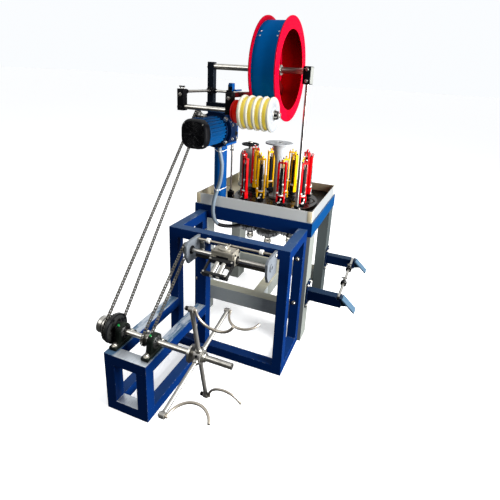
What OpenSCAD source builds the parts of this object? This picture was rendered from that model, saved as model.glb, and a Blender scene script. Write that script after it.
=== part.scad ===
// Floor-standing cord braiding machine with a capstan, a chain-driven winder and a core pay-off.
// Machine frame: X runs along the front, Y to the back, Z up from the floor.

/* [Table] */
// Width of the table along the front
table_w = 700; // [640:10:860]
// Depth of the table, front to back
table_d = 620; // [620:10:760]
// Height of the apron's top edge over the floor
table_h = 730; // [680:10:800]
// Height of the apron rails
apron_h = 76; // [50:2:90]
// Thickness of the apron rails
apron_t = 40; // [30:1:50]
// Leg width along the front
leg_w = 65; // [50:1:80]
// Leg depth, front to back
leg_d = 110; // [80:1:130]
// Set-back of the legs from the apron's outer faces
leg_inset = 4; // [0:1:10]
// Wall of the legs and stretchers
leg_wall = 4; // [2:0.5:6]
// Height of the stretchers' lower edge over the floor
stretcher_z = 110; // [60:5:200]
// Height of the stretchers
stretcher_h = 90; // [50:5:120]
// Thickness of the stretchers
stretcher_t = 64; // [40:1:70]

/* [Tray] */
// Set-back of the tray from the apron's outer faces
tray_inset = 8; // [2:1:15]
// Height of the tray rim
tray_rim_h = 58; // [40:1:80]
// Thickness of the tray sheet
tray_t = 4; // [2:0.5:6]

/* [Braiding head] */
// Sideways place of the braiding axis, from the table's middle
head_x = 40; // [20:1:50]
// Depth of the braiding axis behind the table's front
head_y = 300; // [296:1:312]
// Radius of the circle of horn gear axes
horn_ring_r = 171; // [160:1:172]
// Radius of the horn gear shafts
horn_shaft_r = 14; // [10:0.5:18]
// Teeth on each horn gear
horn_teeth = 24; // [24:8:32]
// Thickness of the horn gears
horn_gear_t = 20; // [12:1:26]
// Thickness of the track plate
track_t = 14; // [12:1:20]
// Width of the carrier track
track_slot = 9; // [6:1:11]
// Depth of the carrier track
track_depth = 8; // [4:1:10]
// Margin of the track plate outside the carrier track
track_margin = 18; // [14:1:20]
// Thickness of the bed plate under the table
bed_t = 14; // [10:1:20]
// Drop of the bed plate under the apron
bed_drop = 4; // [2:1:12]
// Turn of the carriers along the track
carrier_phase = 18; // [10:1:24]
// Height of a carrier
carrier_h = 262; // [230:2:290]
// Width of a carrier
carrier_w = 46; // [40:1:48]
// Depth of a carrier
carrier_d = 34; // [30:1:36]
// Radius of a bobbin
bobbin_r = 14; // [10:0.5:15]
// Outer radius of the core tube
core_r = 20; // [18:0.5:24]
// Bore radius of the core tube
core_bore_r = 15; // [10:0.5:16]
// Height of the former disc's top over the floor
core_top = 1084; // [1050:2:1120]
// Lower end of the core tube over the floor
core_bottom = 480; // [420:5:500]
// Radius of the former disc
former_r = 82; // [70:1:90]

/* [Head drive] */
// Sideways place of the head motor, from the table's middle
head_motor_x = -229; // [-236:1:-226]
// Depth of the head motor behind the table's front
head_motor_y = 505; // [500:1:512]
// Radius of the head motor
head_motor_r = 74; // [66:1:75]
// Height of the head motor over the tray floor
head_motor_h = 250; // [220:5:260]
// Radius of the head motor shaft
head_shaft_r = 12; // [10:0.5:14]
// Radius of the handwheel
handwheel_r = 58; // [45:1:62]
// Radius of the head motor's pulley
motor_pulley_r = 40; // [32:1:44]
// Radius of the pulley on the driven horn gear
drive_pulley_r = 60; // [50:1:66]
// Thickness of the drive belt
belt_t = 5; // [3:0.5:8]

/* [Gate and winder frames] */
// Width of the square tube
tube_w = 50; // [40:1:60]
// Wall of the square tube
tube_wall = 3; // [2:0.5:4]
// Left face of the gate, from the table's middle
gate_left = -320; // [-330:1:-312]
// Right face of the gate, from the table's middle
gate_right = 328; // [316:1:340]
// Reach of the gate in front of the table
gate_reach = 304; // [280:2:340]
// Height of the gate
gate_h = 696; // [680:2:720]
// Width of the winder frame
winder_w = 214; // [206:1:224]
// Reach of the winder frame in front of the gate
winder_reach = 494; // [460:2:540]
// Height of the winder frame
winder_h = 292; // [280:2:310]

/* [Winder] */
// Distance of the winder shaft in front of the gate
winder_shaft_run = 400; // [380:2:420]
// Height of the winder shaft over its frame
winder_shaft_rise = 56; // [50:1:66]
// Radius of the winder shaft
winder_shaft_r = 12.5; // [10:0.5:15]
// Right end of the winder shaft
winder_shaft_end = 238; // [220:1:260]
// Radius of the tube over the shaft's right end
reel_tube_r = 12.5; // [10:0.5:16]
// Place of the reel arms along the shaft
reel_x = 90; // [80:1:100]
// Reach of the reel arms from the shaft
reel_r = 262; // [240:2:270]
// Lean of the reel from upright
reel_lean = 13; // [0:1:30]
// Radius of the reel arms
arm_r = 9; // [7:0.5:11]
// Span of a reel hook
hook_span = 158; // [140:2:180]
// Angle that a reel hook's bow sweeps
hook_sweep = 160; // [140:5:180]
// Radius of the reel hook rod
hook_rod_r = 5.5; // [4:0.5:6]
// Radius of the slip clutch disc
clutch_r = 67; // [62:1:76]

/* [Chains] */
// Plane of the winder chain along X
winder_chain_x = -352; // [-356:1:-348]
// Plane of the traverse chain along X
traverse_chain_x = -172; // [-176:1:-168]
// Pitch radius of the sprocket on the gearbox
drive_pitch_r = 30; // [26:1:34]
// Pitch radius of the clutch sprocket
clutch_pitch_r = 58; // [50:1:62]
// Pitch radius of the small winder sprocket
small_pitch_r = 30; // [26:1:34]
// Pitch radius of the traverse sprocket
traverse_pitch_r = 26; // [24:1:30]
// Height of the chain's side plates
chain_h = 11; // [9:0.5:13]
// Thickness of a chain side plate
chain_plate_t = 2; // [1.5:0.25:3]
// Distance between pins on the straight runs
chain_pin_step = 50.8; // [25.4:12.7:101.6]

/* [Traverse] */
// Outer face of the left traverse plate
traverse_left = -150; // [-154:1:-146]
// Outer face of the right traverse plate
traverse_right = 267; // [255:1:272]
// Thickness of the traverse plates
traverse_plate_t = 12; // [8:1:14]
// Reach of the traverse plates in front of the gate
traverse_reach = 128; // [120:1:140]
// Height of the traverse plates
traverse_plate_h = 112; // [106:1:124]
// Drop of the plates' top edge under the gate's top
traverse_drop = 6; // [0:1:12]
// Distance of the traverse shaft in front of the gate
traverse_shaft_run = 82; // [76:1:88]
// Drop of the traverse shaft under the plates' top edge
traverse_shaft_drop = 50; // [46:1:54]
// Radius of the traverse shaft
traverse_shaft_r = 10; // [8:0.5:12]
// Length of the traverse carriage
carriage_w = 104; // [90:2:120]
// Rest place of the carriage's middle along X
carriage_x = 40; // [20:1:70]
// Radius of the cord guide rollers
guide_roller_r = 12; // [9:0.5:14]
// Length of the cord guide rollers
guide_roller_len = 62; // [50:1:70]
// Gap between the cord guide rollers
guide_gap = 8; // [6:0.5:12]

/* [Column and gearbox] */
// Sideways place of the column
column_x = -223; // [-228:1:-218]
// Depth of the column behind the table's front
column_y = 64; // [64:1:72]
// Outer radius of the column pipe
column_r = 35; // [32:0.5:40]
// Wall of the column pipe
column_wall = 4; // [3:0.5:8]
// Height of the column's top plate over the floor
column_top = 1097; // [1080:1:1110]
// Sideways place of the motor axis
motor_x = -203; // [-208:1:-198]
// Depth of the gearbox's front face
gearbox_front = -35; // [-40:1:-30]
// Width of the gearbox
gearbox_w = 104; // [96:2:120]
// Depth of the gearbox
gearbox_d = 146; // [130:2:156]
// Height of the gearbox
gearbox_h = 165; // [160:1:175]
// Height of the motor axis over the column top
motor_rise = 73; // [70:1:80]
// Height of the output axis over the column top
output_rise = 128; // [124:1:130]
// Depth of the output axis behind the gearbox's front face
output_run = 66; // [60:1:76]
// Radius of the output shaft
output_r = 12.5; // [10:0.5:15]
// Radius of the motor flange
motor_flange_r = 94; // [85:1:98]
// Radius of the motor's finned housing
motor_r = 72; // [60:1:76]
// Half width of the motor's fan cover
fan_cover_r = 71; // [68:1:76]
// Length of the motor from its flange to the fan cover's end
motor_len = 231; // [200:1:250]

/* [Capstan] */
// Depth of the drum axle behind the table's front
drum_y = 62; // [62:1:66]
// Height of the drum axle over the floor
drum_z = 1484; // [1478:1:1500]
// Left face of the drum, from the table's middle
drum_left = 28; // [20:1:36]
// Width of the drum
drum_w = 128; // [110:2:140]
// Distance of the drum's spider inside its left face
spider_in = 22; // [18:1:64]
// Outer radius of the drum flanges
drum_r = 247; // [236:1:250]
// Inner radius of the drum flanges
drum_hole_r = 189; // [170:1:195]
// Radius of the lined drum surface
drum_lining_r = 226; // [215:1:230]
// Thickness of the drum lining
drum_lining_t = 4; // [2:0.5:6]
// Thickness of the drum sheet
drum_sheet = 5; // [3:0.5:8]
// Radius of the drum axle
drum_axle_r = 15; // [12:0.5:18]
// Width of the square post
post_w = 34; // [30:1:40]
// Left face of the post
post_left = -302; // [-308:1:-298]
// Height of the bar under the post
post_bar_h = 38; // [30:1:44]
// Place of the right-hand axle rod
axle_rod_x = 241; // [236:1:248]
// Radius of the right-hand axle rod
axle_rod_r = 9; // [7:0.5:11]
// Distance of the roller axis in front of the drum axle
roller_run = 274; // [270:1:290]
// Drop of the roller axis under the drum axle
roller_drop = 194; // [190:1:200]
// Left end of the grooved roller
roller_left = 24; // [18:1:30]
// Width of a roller flange
roller_flange_w = 17; // [15:1:20]
// Width of a roller groove
roller_groove_w = 17; // [14:1:20]
// Outer radius of the grooved roller
roller_r = 77; // [70:1:80]
// Radius at the bottom of the grooves
roller_groove_r = 60; // [50:1:66]
// Radius of the roller shaft
roller_shaft_r = 12; // [10:0.5:14]
// Radius of the red disc beside the roller
roller_disc_r = 52; // [45:1:60]

/* [Pay-off] */
// Height of the pay-off arms' middle over the floor
payoff_z = 290; // [270:1:300]
// Width of the pay-off arm tube
payoff_tube_w = 50; // [40:1:54]
// Height of the pay-off arm tube
payoff_tube_h = 60; // [50:1:66]
// Reach of the pay-off arms beside the legs
payoff_reach = 190; // [170:2:220]
// Length of the sloping pads
pad_len = 100; // [80:2:120]
// Slope of the pads
pad_slope = 42; // [25:1:50]
// Radius of the pay-off rod
payoff_rod_r = 8; // [6:0.5:10]

/* [Clearances] */
// Running clearance of shafts in their bores
run_gap = 0.05; // [0.03:0.01:0.09]
// Gap between neighbouring pieces on different bodies
part_gap = 0.3; // [0.3:0.1:0.5]
// Gap between a chain plate and its sprocket
chain_gap = 0.6; // [0.4:0.1:0.8]
// Gap in the welds where two tubes or sheets butt together
weld_gap = 0.05; // [0.02:0.01:0.1]

/* [Hidden] */
$fn = 48;

navy = "midnightblue";
blue = "royalblue";
steel = "silver";
dark = "dimgray";
black = "black";

table_x = table_w / 2;
apron_z = table_h - apron_h;
leg_x = table_x - leg_inset;
tray_floor_z = table_h + tray_t;
tray_top = tray_floor_z + tray_rim_h;

horn_count = 8;
horn_r = horn_ring_r * sin(180 / horn_count);
// One horn gear points at the head motor.
motor_angle = atan2(head_motor_y - head_y, head_motor_x - head_x);
driven_horn = 4;
horn_start = motor_angle - (driven_horn - 1) * 360 / horn_count;
track_r = horn_ring_r + horn_r + track_margin;
track_top = tray_floor_z + track_t;
bed_top = apron_z - bed_drop;
bed_bottom = bed_top - bed_t;
bed_r = track_r + 8;
bush_h = 40;
bush_r = horn_shaft_r + 12;
gear_top = bed_bottom - bush_h - part_gap;
gear_bottom = gear_top - horn_gear_t;
gear_module = 2 * horn_r / horn_teeth;
pulley_h = 30;
pulley_top = gear_bottom - 8;
pulley_bottom = pulley_top - pulley_h;
pulley_flange = 5;
horn_shaft_bottom = pulley_bottom - 16;
horn_plate_z = table_h - 34;
horn_plate_t = 10;

rear_post_y = -tube_w;
gate_front = -gate_reach;
winder_front = gate_front - winder_reach;
winder_right = gate_left + winder_w;
rail_left_x = gate_left + tube_w / 2;
rail_right_x = winder_right - tube_w / 2;
shaft_y = gate_front - winder_shaft_run;
shaft_z = winder_h + winder_shaft_rise;
clutch_hub_len = 48;
clutch_plate_t = 14;
clutch_left = winder_chain_x - 10 - clutch_hub_len;
pillow_len = 34;
arm_clamp_r = 12;
arm_clamp_len = 20;
knob_r = 8;
knob_len = 16;
hook_pin_len = 30;

sprocket_half = 3.5 - chain_gap;
plate_in = 3.5;

traverse_top = gate_h - traverse_drop;
traverse_front = gate_front - traverse_reach;
traverse_y = gate_front - traverse_shaft_run;
traverse_z = traverse_top - traverse_shaft_drop;
collar_rod_y = gate_front - 24;
collar_rod_z = traverse_top - 14;
collar_rod_r = 6;
guide_bar_y = gate_front - 40;
guide_bar_z = traverse_top - traverse_plate_h + 10;
guide_bar_h = 16;
guide_bar_w = 8;
carriage_d = 62;
carriage_h = 70;
carriage_front = traverse_y - carriage_d / 2;
carriage_top = traverse_z + 42;
carriage_bottom = carriage_top - carriage_h;
guide_tilt = 28;
guide_pitch = 2 * guide_roller_r + guide_gap;
guide_pin_r = 4;
fork_w = 126;
fork_bar_t = 12;
fork_bar_h = 28;
fork_strip_t = 6;
fork_strip_h = 16;
fork_len = guide_roller_len + 2 * fork_bar_t;

motor_z = column_top + motor_rise;
output_y = gearbox_front + output_run;
output_z = column_top + output_rise;
gearbox_top = column_top + gearbox_h;
motor_flange_t = 12;
motor_back = gearbox_front - motor_flange_t;
fan_cover_len = 36;
motor_front = gearbox_front - motor_len;

post_x = post_left + post_w / 2;
bar_top = gearbox_top + post_bar_h;
bar_left = post_left - 6;
bar_right = motor_x + gearbox_w / 2;
post_top = drum_z + 22;
drum_right = drum_left + drum_w;
spider_x = drum_left + spider_in;
axle_block_w = 38;
axle_block_d = 60;
axle_block_top = drum_z + 24;
axle_block_h = 84;
roller_y = drum_y - roller_run;
roller_z = drum_z - roller_drop;
roller_w = 5 * roller_flange_w + 4 * roller_groove_w;
roller_right = roller_left + roller_w;
block_w = 34;
block2_w = 33;
block_d = 36;
block_h = 100;
block_top = roller_z + 82;
block1_left = post_x - 27;
block2_left = roller_left - 82;
arm_z = block_top - 12;
arm_rod_r = 7;
cross_rod_r = 7;
disc_w = 15;
flange_round = 7;

payoff_front_y = leg_inset + leg_d / 2;
payoff_rear_y = table_d - leg_inset - leg_d / 2;
payoff_plate_t = 8;
payoff_start = leg_x + payoff_plate_t;
payoff_end = payoff_start + payoff_reach;
rod_setback = 19;
rod_sink = 6;
payoff_rod_x = payoff_end - rod_setback;
payoff_rod_z = payoff_z + payoff_tube_h / 2 - rod_sink;

conduit_r = 11;
conduit_sides = 10;
// Route of the motor conduit: down the column, over the tray rim and in under the apron.
conduit_route = [
  [-200, 2, 1085], [-198, 1, 1055], [-190, 1, 1015], [-184, 2, 975], [-186, 3, 930],
  [-193, 4, 885], [-203, 2, 845], [-214, -4, 805], [-222, -10, 765], [-225, -14, 725],
  [-223, -15, 690], [-212, -15, 655], [-192, -8, 630], [-166, 12, 618], [-140, 36, 612],
  [-116, 64, 608], [-100, 96, 612], [-96, 116, 622], [-96, 120, 636]
];

// Extents of the whole machine at rest, which set the origin under its middle.
extent_left = clutch_left;
extent_right = payoff_end + pad_len * cos(pad_slope) + 8 * sin(pad_slope);
extent_front = shaft_y - reel_r * cos(reel_lean) - arm_clamp_r;
extent_back = table_d;
mid_x = (extent_left + extent_right) / 2;
mid_y = (extent_front + extent_back) / 2;

// Places the machine with its origin on the floor under the middle of its box.
module placed() translate([-mid_x, -mid_y, 0]) children();

// Square or flat steel tube with closed ends, from one corner, with half a weld gap at each end.
module tube(size, wall) {
  long = max(size);
  cut = [for (s = size) s == long ? weld_gap : 0];
  translate(cut / 2) difference() {
    cube(size - cut);
    translate([wall, wall, wall]) cube(size - cut - 2 * wall * [1, 1, 1]);
  }
}

// Round bar along X, from its left end.
module bar_x(r, len) rotate([0, 90, 0]) cylinder(r = r, h = len);

// Round bar along Y, from its front end.
module bar_y(r, len) rotate([-90, 0, 0]) cylinder(r = r, h = len);

// Hexagon bolt head along Z.
module hex_head(r, h) cylinder(r = r, h = h, $fn = 6);

// Outline that wraps two round wheels: a at [0, 0] and b at p, each with its own radius.
function wrap_points(p, ra, rb, steps = 16) =
  let (
    span = norm(p),
    turn = atan2(p[1], p[0]),
    lean = acos((ra - rb) / span)
  )
  concat(
    [for (i = [0:steps]) let (t = turn + lean + i * (360 - 2 * lean) / steps) [ra * cos(t), ra * sin(t)]],
    [for (i = [0:steps]) let (t = turn - lean + i * 2 * lean / steps) p + [rb * cos(t), rb * sin(t)]]
  );

// Closed band around two wheels, h tall.
module wrap_band(p, ra, rb, t, h, steps = 16) {
  linear_extrude(h) difference() {
    polygon(wrap_points(p, ra + t, rb + t, steps));
    polygon(wrap_points(p, ra, rb, steps));
  }
}

// Roller chain in the plane X = x between two shafts given as [y, z].
module chain_loop(x, a, b, ra, rb) {
  p = b - a;
  span = norm(p);
  turn = atan2(p[1], p[0]);
  lean = acos((ra - rb) / span);
  run = span * sin(lean);
  pins = floor(run / chain_pin_step) - 1;
  translate([x, a[0], a[1]]) rotate([90, 0, 90]) {
    for (side = [plate_in, -plate_in - chain_plate_t])
      translate([0, 0, side]) wrap_band(p, ra - chain_h / 2, rb - chain_h / 2, chain_h, chain_plate_t);
    for (s = [-1, 1]) {
      start = ra * [cos(turn + s * lean), sin(turn + s * lean)];
      stop = p + rb * [cos(turn + s * lean), sin(turn + s * lean)];
      for (i = [1:pins]) {
        at = start + (stop - start) * i / (pins + 1);
        translate([at[0], at[1], -plate_in]) cylinder(r = chain_h * 0.3, h = 2 * plate_in, $fn = 16);
      }
    }
  }
}

// Sprocket disc across X with its hub towards +X.
module sprocket(pitch_r, shaft_r, hub_len) {
  teeth = round(PI * 2 * pitch_r / 12.7);
  rotate([90, 0, 90]) difference() {
    union() {
      translate([0, 0, -sprocket_half]) linear_extrude(2 * sprocket_half)
        polygon([for (i = [0:4 * teeth - 1])
          let (r = pitch_r + ((i % 4 < 2) ? chain_h * 0.3 : -chain_h * 0.35), t = (i + 0.5) * 90 / teeth)
          [r * cos(t), r * sin(t)]]);
      cylinder(r = min(shaft_r + 8, pitch_r - chain_h), h = hub_len);
    }
    translate([0, 0, -sprocket_half - 1]) cylinder(r = shaft_r, h = hub_len + sprocket_half + 2);
  }
}

module table_frame() color(navy) {
  for (y = [0, table_d - apron_t])
    translate([-table_x, y, apron_z]) tube([table_w, apron_t, apron_h], tube_wall);
  for (x = [-table_x, table_x - apron_t])
    translate([x, apron_t, apron_z]) tube([apron_t, table_d - 2 * apron_t, apron_h], tube_wall);
}

module table_legs() color("darkgray") {
  for (x = [-leg_x, leg_x - leg_w], y = [leg_inset, table_d - leg_inset - leg_d])
    translate([x, y, -weld_gap / 2]) tube([leg_w, leg_d, apron_z], leg_wall);
  inner = leg_x - leg_w;
  for (y = [payoff_front_y, payoff_rear_y])
    translate([-inner, y - stretcher_t / 2, stretcher_z]) tube([2 * inner, stretcher_t, stretcher_h], leg_wall);
  front = payoff_front_y + stretcher_t / 2;
  rear = payoff_rear_y - stretcher_t / 2;
  translate([head_x - stretcher_t / 2, front, stretcher_z])
    tube([stretcher_t, rear - front, stretcher_h], leg_wall);
}

module drip_tray() color("lightgray") {
  w = table_w - 2 * tray_inset;
  d = table_d - 2 * tray_inset;
  translate([0, 0, table_h]) difference() {
    translate([-w / 2, tray_inset, 0]) cube([w, d, tray_t]);
    translate([head_x, head_y, -1]) cylinder(r = track_r - 12, h = tray_t + 2);
    translate([head_motor_x, head_motor_y, -1]) cylinder(r = head_shaft_r + 6, h = tray_t + 2);
  }
  rim_z = tray_floor_z + weld_gap;
  rim_h = tray_rim_h - weld_gap;
  for (y = [tray_inset, tray_inset + d - tray_t])
    translate([-w / 2, y, rim_z]) cube([w, tray_t, rim_h]);
  for (x = [-w / 2, w / 2 - tray_t])
    translate([x, tray_inset + tray_t + weld_gap, rim_z]) cube([tray_t, d - 2 * tray_t - 2 * weld_gap, rim_h]);
}

// Places children on the axis of horn gear number k.
module at_horn(k) {
  a = horn_start + (k - 1) * 360 / horn_count;
  translate([head_x + horn_ring_r * cos(a), head_y + horn_ring_r * sin(a), 0]) rotate([0, 0, a]) children();
}

module track_plate() color("gray") {
  difference() {
    translate([head_x, head_y, tray_floor_z]) cylinder(r = track_r, h = track_t, $fn = 96);
    translate([head_x, head_y, tray_floor_z - 1]) cylinder(r = core_r + run_gap, h = track_t + 2);
    for (k = [1:horn_count]) at_horn(k) translate([0, 0, track_top - track_depth]) difference() {
      cylinder(r = horn_r + track_slot * 0.55, h = track_depth + 1);
      translate([0, 0, -1]) cylinder(r = horn_r - track_slot * 0.45, h = track_depth + 3);
    }
  }
}

// Bed plate with a bushing under each horn gear shaft and pillars up to the table.
module bed_plate() color(dark) {
  pillar_r = 9;
  difference() {
    translate([head_x, head_y, bed_bottom]) cylinder(r = bed_r, h = bed_t, $fn = 96);
    for (k = [1:horn_count]) at_horn(k)
      translate([0, 0, bed_bottom - 1]) cylinder(r = horn_shaft_r + run_gap, h = bed_t + 2);
    translate([head_x, head_y, bed_bottom - 1]) cylinder(r = core_r + run_gap, h = bed_t + 2);
  }
  for (k = [1:horn_count]) at_horn(k) translate([0, 0, bed_bottom - bush_h]) difference() {
    cylinder(r = bush_r, h = bush_h - weld_gap);
    translate([0, 0, -1]) cylinder(r = horn_shaft_r + run_gap, h = bush_h + 2);
  }
  for (k = [1:horn_count]) translate([head_x, head_y, bed_top + weld_gap])
    rotate([0, 0, horn_start + (k - 0.5) * 360 / horn_count]) translate([track_r - 2, 0, 0])
      cylinder(r = pillar_r, h = table_h - bed_top - weld_gap);
}

// Core tube with its collar on the track plate, conical neck and former disc.
module core_tube() color(steel) {
  disc_t = 8;
  collar_h = 12;
  collar_r = core_r + 24;
  neck_h = 90;
  neck_r = core_r + 20;
  seat_r = core_r + weld_gap;
  neck_top = core_top - disc_t;
  translate([head_x, head_y, 0]) {
    translate([0, 0, core_bottom]) difference() {
      cylinder(r = core_r, h = core_top - core_bottom, $fn = 64);
      translate([0, 0, -1]) cylinder(r = core_bore_r, h = core_top - core_bottom + 2, $fn = 64);
    }
    translate([0, 0, track_top]) difference() {
      cylinder(r = collar_r, h = collar_h);
      translate([0, 0, -1]) cylinder(r = seat_r, h = collar_h + 2);
    }
    rotate_extrude() polygon([
      [seat_r, neck_top - neck_h], [core_r + 1, neck_top - neck_h], [neck_r, neck_top - weld_gap],
      [seat_r, neck_top - weld_gap]
    ]);
    translate([0, 0, neck_top]) difference() {
      cylinder(r = former_r, h = disc_t, $fn = 64);
      translate([0, 0, -1]) cylinder(r = seat_r, h = disc_t + 2);
    }
  }
}

// Places children on every carrier of one colour: set 0 or 1.
module at_carriers(set) {
  for (k = [1:horn_count]) {
    even = k % 2 == 0;
    turn = (even ? carrier_phase : 90 - carrier_phase) + 180 * set;
    at_horn(k) rotate([0, 0, turn]) translate([horn_r, 0, track_top + part_gap]) rotate([0, 0, -turn]) children();
  }
}

carrier_base_z = 34;
carrier_top_t = 9;

// Carrier without its bobbin: foot and base, two side bars, spindle and top.
module carrier() {
  bar_w = 7;
  bar_d = 14;
  bar_h = carrier_h - carrier_base_z - carrier_top_t - 2 * weld_gap;
  cylinder(r = track_slot * 0.4, h = 8);
  translate([0, 0, 8]) cylinder(r = carrier_d / 2, h = 16);
  translate([-carrier_d / 2, -carrier_w / 2, 24]) cube([carrier_d, carrier_w, carrier_base_z - 24]);
  translate([0, 0, carrier_base_z + weld_gap]) {
    for (y = [-carrier_w / 2, carrier_w / 2 - bar_w]) translate([-bar_d / 2, y, 0]) cube([bar_d, bar_w, bar_h]);
    cylinder(r = 4, h = bar_h, $fn = 16);
  }
  translate([-carrier_d / 2 + 5, -carrier_w / 2, carrier_h - carrier_top_t])
    cube([carrier_d - 10, carrier_w, carrier_top_t]);
  translate([-3, -3, carrier_h]) cube([6, 6, 26]);
}

module red_carriers() color("red") at_carriers(0) carrier();

module yellow_carriers() color("gold") at_carriers(1) carrier();

module bobbins() color(black) {
  len = carrier_h - carrier_base_z - carrier_top_t - 24;
  for (set = [0, 1]) at_carriers(set) translate([0, 0, carrier_base_z + part_gap]) difference() {
    union() {
      cylinder(r = bobbin_r, h = len, $fn = 32);
      cylinder(r = bobbin_r + 1, h = 5, $fn = 32);
    }
    translate([0, 0, -1]) cylinder(r = 4 + run_gap, h = len + 2, $fn = 16);
  }
}

module gate_frame() color(navy) {
  post_h = gate_h - 2 * tube_w;
  span = gate_right - gate_left;
  second = winder_right - tube_w;
  for (z = [0, gate_h - tube_w]) {
    translate([gate_left, gate_front, z]) tube([span, tube_w, tube_w], tube_wall);
    for (x = [gate_left, gate_right - tube_w])
      translate([x, gate_front + tube_w, z]) tube([tube_w, gate_reach - tube_w, tube_w], tube_wall);
  }
  for (x = [gate_left, second, gate_right - tube_w])
    translate([x, gate_front, tube_w]) tube([tube_w, tube_w, post_h], tube_wall);
  for (x = [gate_left, gate_right - tube_w])
    translate([x, rear_post_y, tube_w]) tube([tube_w, tube_w, post_h], tube_wall);
}

module winder_frame() color(navy) {
  post_h = winder_h - 2 * tube_w;
  for (z = [0, winder_h - tube_w]) {
    for (x = [gate_left, winder_right - tube_w])
      translate([x, winder_front, z]) tube([tube_w, winder_reach, tube_w], tube_wall);
    translate([gate_left + tube_w, winder_front, z]) tube([winder_w - 2 * tube_w, tube_w, tube_w], tube_wall);
  }
  for (x = [gate_left, winder_right - tube_w])
    translate([x, winder_front, tube_w]) tube([tube_w, tube_w, post_h], tube_wall);
}

// Bolt heads on the inner faces of the gate's rear posts, at two heights on each post.
module frame_bolts() color(steel) {
  for (z = [gate_h * 0.38, gate_h * 0.84]) {
    translate([gate_right - tube_w, rear_post_y + tube_w / 2, z]) rotate([0, -90, 0]) hex_head(11, 8);
    translate([gate_left + tube_w, rear_post_y + tube_w / 2, z]) rotate([0, 90, 0]) hex_head(11, 8);
  }
}

module column() color(blue) {
  base_t = 10;
  base_half = 60;
  base_front = tray_inset + tray_t + 1;
  base_back = column_y + column_r + 18;
  plate_t = 12;
  translate([column_x - base_half, base_front, tray_floor_z])
    cube([2 * base_half, base_back - base_front, base_t]);
  translate([column_x, column_y, tray_floor_z + base_t]) difference() {
    cylinder(r = column_r, h = column_top - plate_t - tray_floor_z - base_t);
    translate([0, 0, column_wall])
      cylinder(r = column_r - column_wall, h = column_top - plate_t - tray_floor_z - base_t - 2 * column_wall);
  }
  translate([motor_x - gearbox_w / 2, gearbox_front + 14, column_top - plate_t])
    cube([gearbox_w, gearbox_d - 14, plate_t]);
}

module worm_gearbox() color(blue) {
  cap_r = 34;
  cap_t = 10;
  difference() {
    union() {
      translate([motor_x - gearbox_w / 2, gearbox_front, column_top]) cube([gearbox_w, gearbox_d, gearbox_h]);
      translate([motor_x - gearbox_w / 2 - cap_t, output_y, output_z]) bar_x(cap_r, gearbox_w + 2 * cap_t);
    }
    translate([motor_x - gearbox_w, output_y, output_z]) bar_x(output_r + run_gap, 2 * gearbox_w);
  }
}

module haul_motor() color(blue) {
  fins = 24;
  body_len = motor_len - motor_flange_t - fan_cover_len;
  translate([motor_x, gearbox_front, motor_z]) rotate([90, 0, 0]) {
    cylinder(r = motor_flange_r, h = motor_flange_t, $fn = 64);
    translate([0, 0, motor_flange_t]) linear_extrude(body_len)
      polygon([for (i = [0:4 * fins - 1])
        let (r = (i % 4 < 2) ? motor_r : motor_r - 7, t = (i + 0.5) * 90 / fins) [r * cos(t), r * sin(t)]]);
  }
}

// Square fan cover with its corners rounded off.
module motor_fan_cover() color(black) {
  fan_corner_r = fan_cover_r * 1.12;
  translate([motor_x, motor_front + fan_cover_len, motor_z]) rotate([90, 0, 0])
    intersection() {
      rotate_extrude() polygon([
        [0, 0], [fan_corner_r, 0], [fan_corner_r, fan_cover_len - 18], [fan_corner_r - 18, fan_cover_len],
        [0, fan_cover_len]
      ]);
      translate([-fan_cover_r, -fan_cover_r, 0]) cube([2 * fan_cover_r, 2 * fan_cover_r, fan_cover_len]);
    }
}

module drum_post() color("darkslategray") {
  translate([bar_left, drum_y - post_w / 2 - 2, gearbox_top])
    tube([bar_right - bar_left, post_w + 4, post_bar_h], tube_wall);
  translate([post_left, drum_y - post_w / 2, bar_top]) difference() {
    cube([post_w, post_w, post_top - bar_top]);
    translate([-1, post_w / 2, drum_z - bar_top]) bar_x(drum_axle_r, post_w + 2);
    translate([-1, post_w / 2, arm_z - bar_top]) bar_x(cross_rod_r, post_w + 2);
  }
}

module drum_axle() color(steel) {
  left = post_left - 4;
  translate([left, drum_y, drum_z]) bar_x(drum_axle_r, axle_rod_x + axle_block_w / 2 - left);
  for (x = [spider_x - 35 - 18 - part_gap, spider_x + 35 + part_gap])
    translate([x, drum_y, drum_z]) difference() {
      bar_x(drum_axle_r + 10, 18);
      translate([-1, 0, 0]) bar_x(drum_axle_r, 20);
    }
}

// Right-hand support of the axle: foot, rod and clamp block.
module axle_stand() color(black) {
  foot = 50;
  foot_h = 50;
  block_bottom = axle_block_top - axle_block_h;
  translate([axle_rod_x - foot / 2, drum_y - foot / 2, tray_floor_z]) cube([foot, foot, foot_h]);
  translate([axle_rod_x, drum_y, tray_floor_z + foot_h])
    cylinder(r = axle_rod_r, h = block_bottom - tray_floor_z - foot_h);
  translate([axle_rod_x - axle_block_w / 2, drum_y - axle_block_d / 2, block_bottom]) difference() {
    cube([axle_block_w, axle_block_d, axle_block_h]);
    translate([-1, axle_block_d / 2, drum_z - block_bottom]) bar_x(drum_axle_r, axle_block_w + 2);
  }
}

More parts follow.
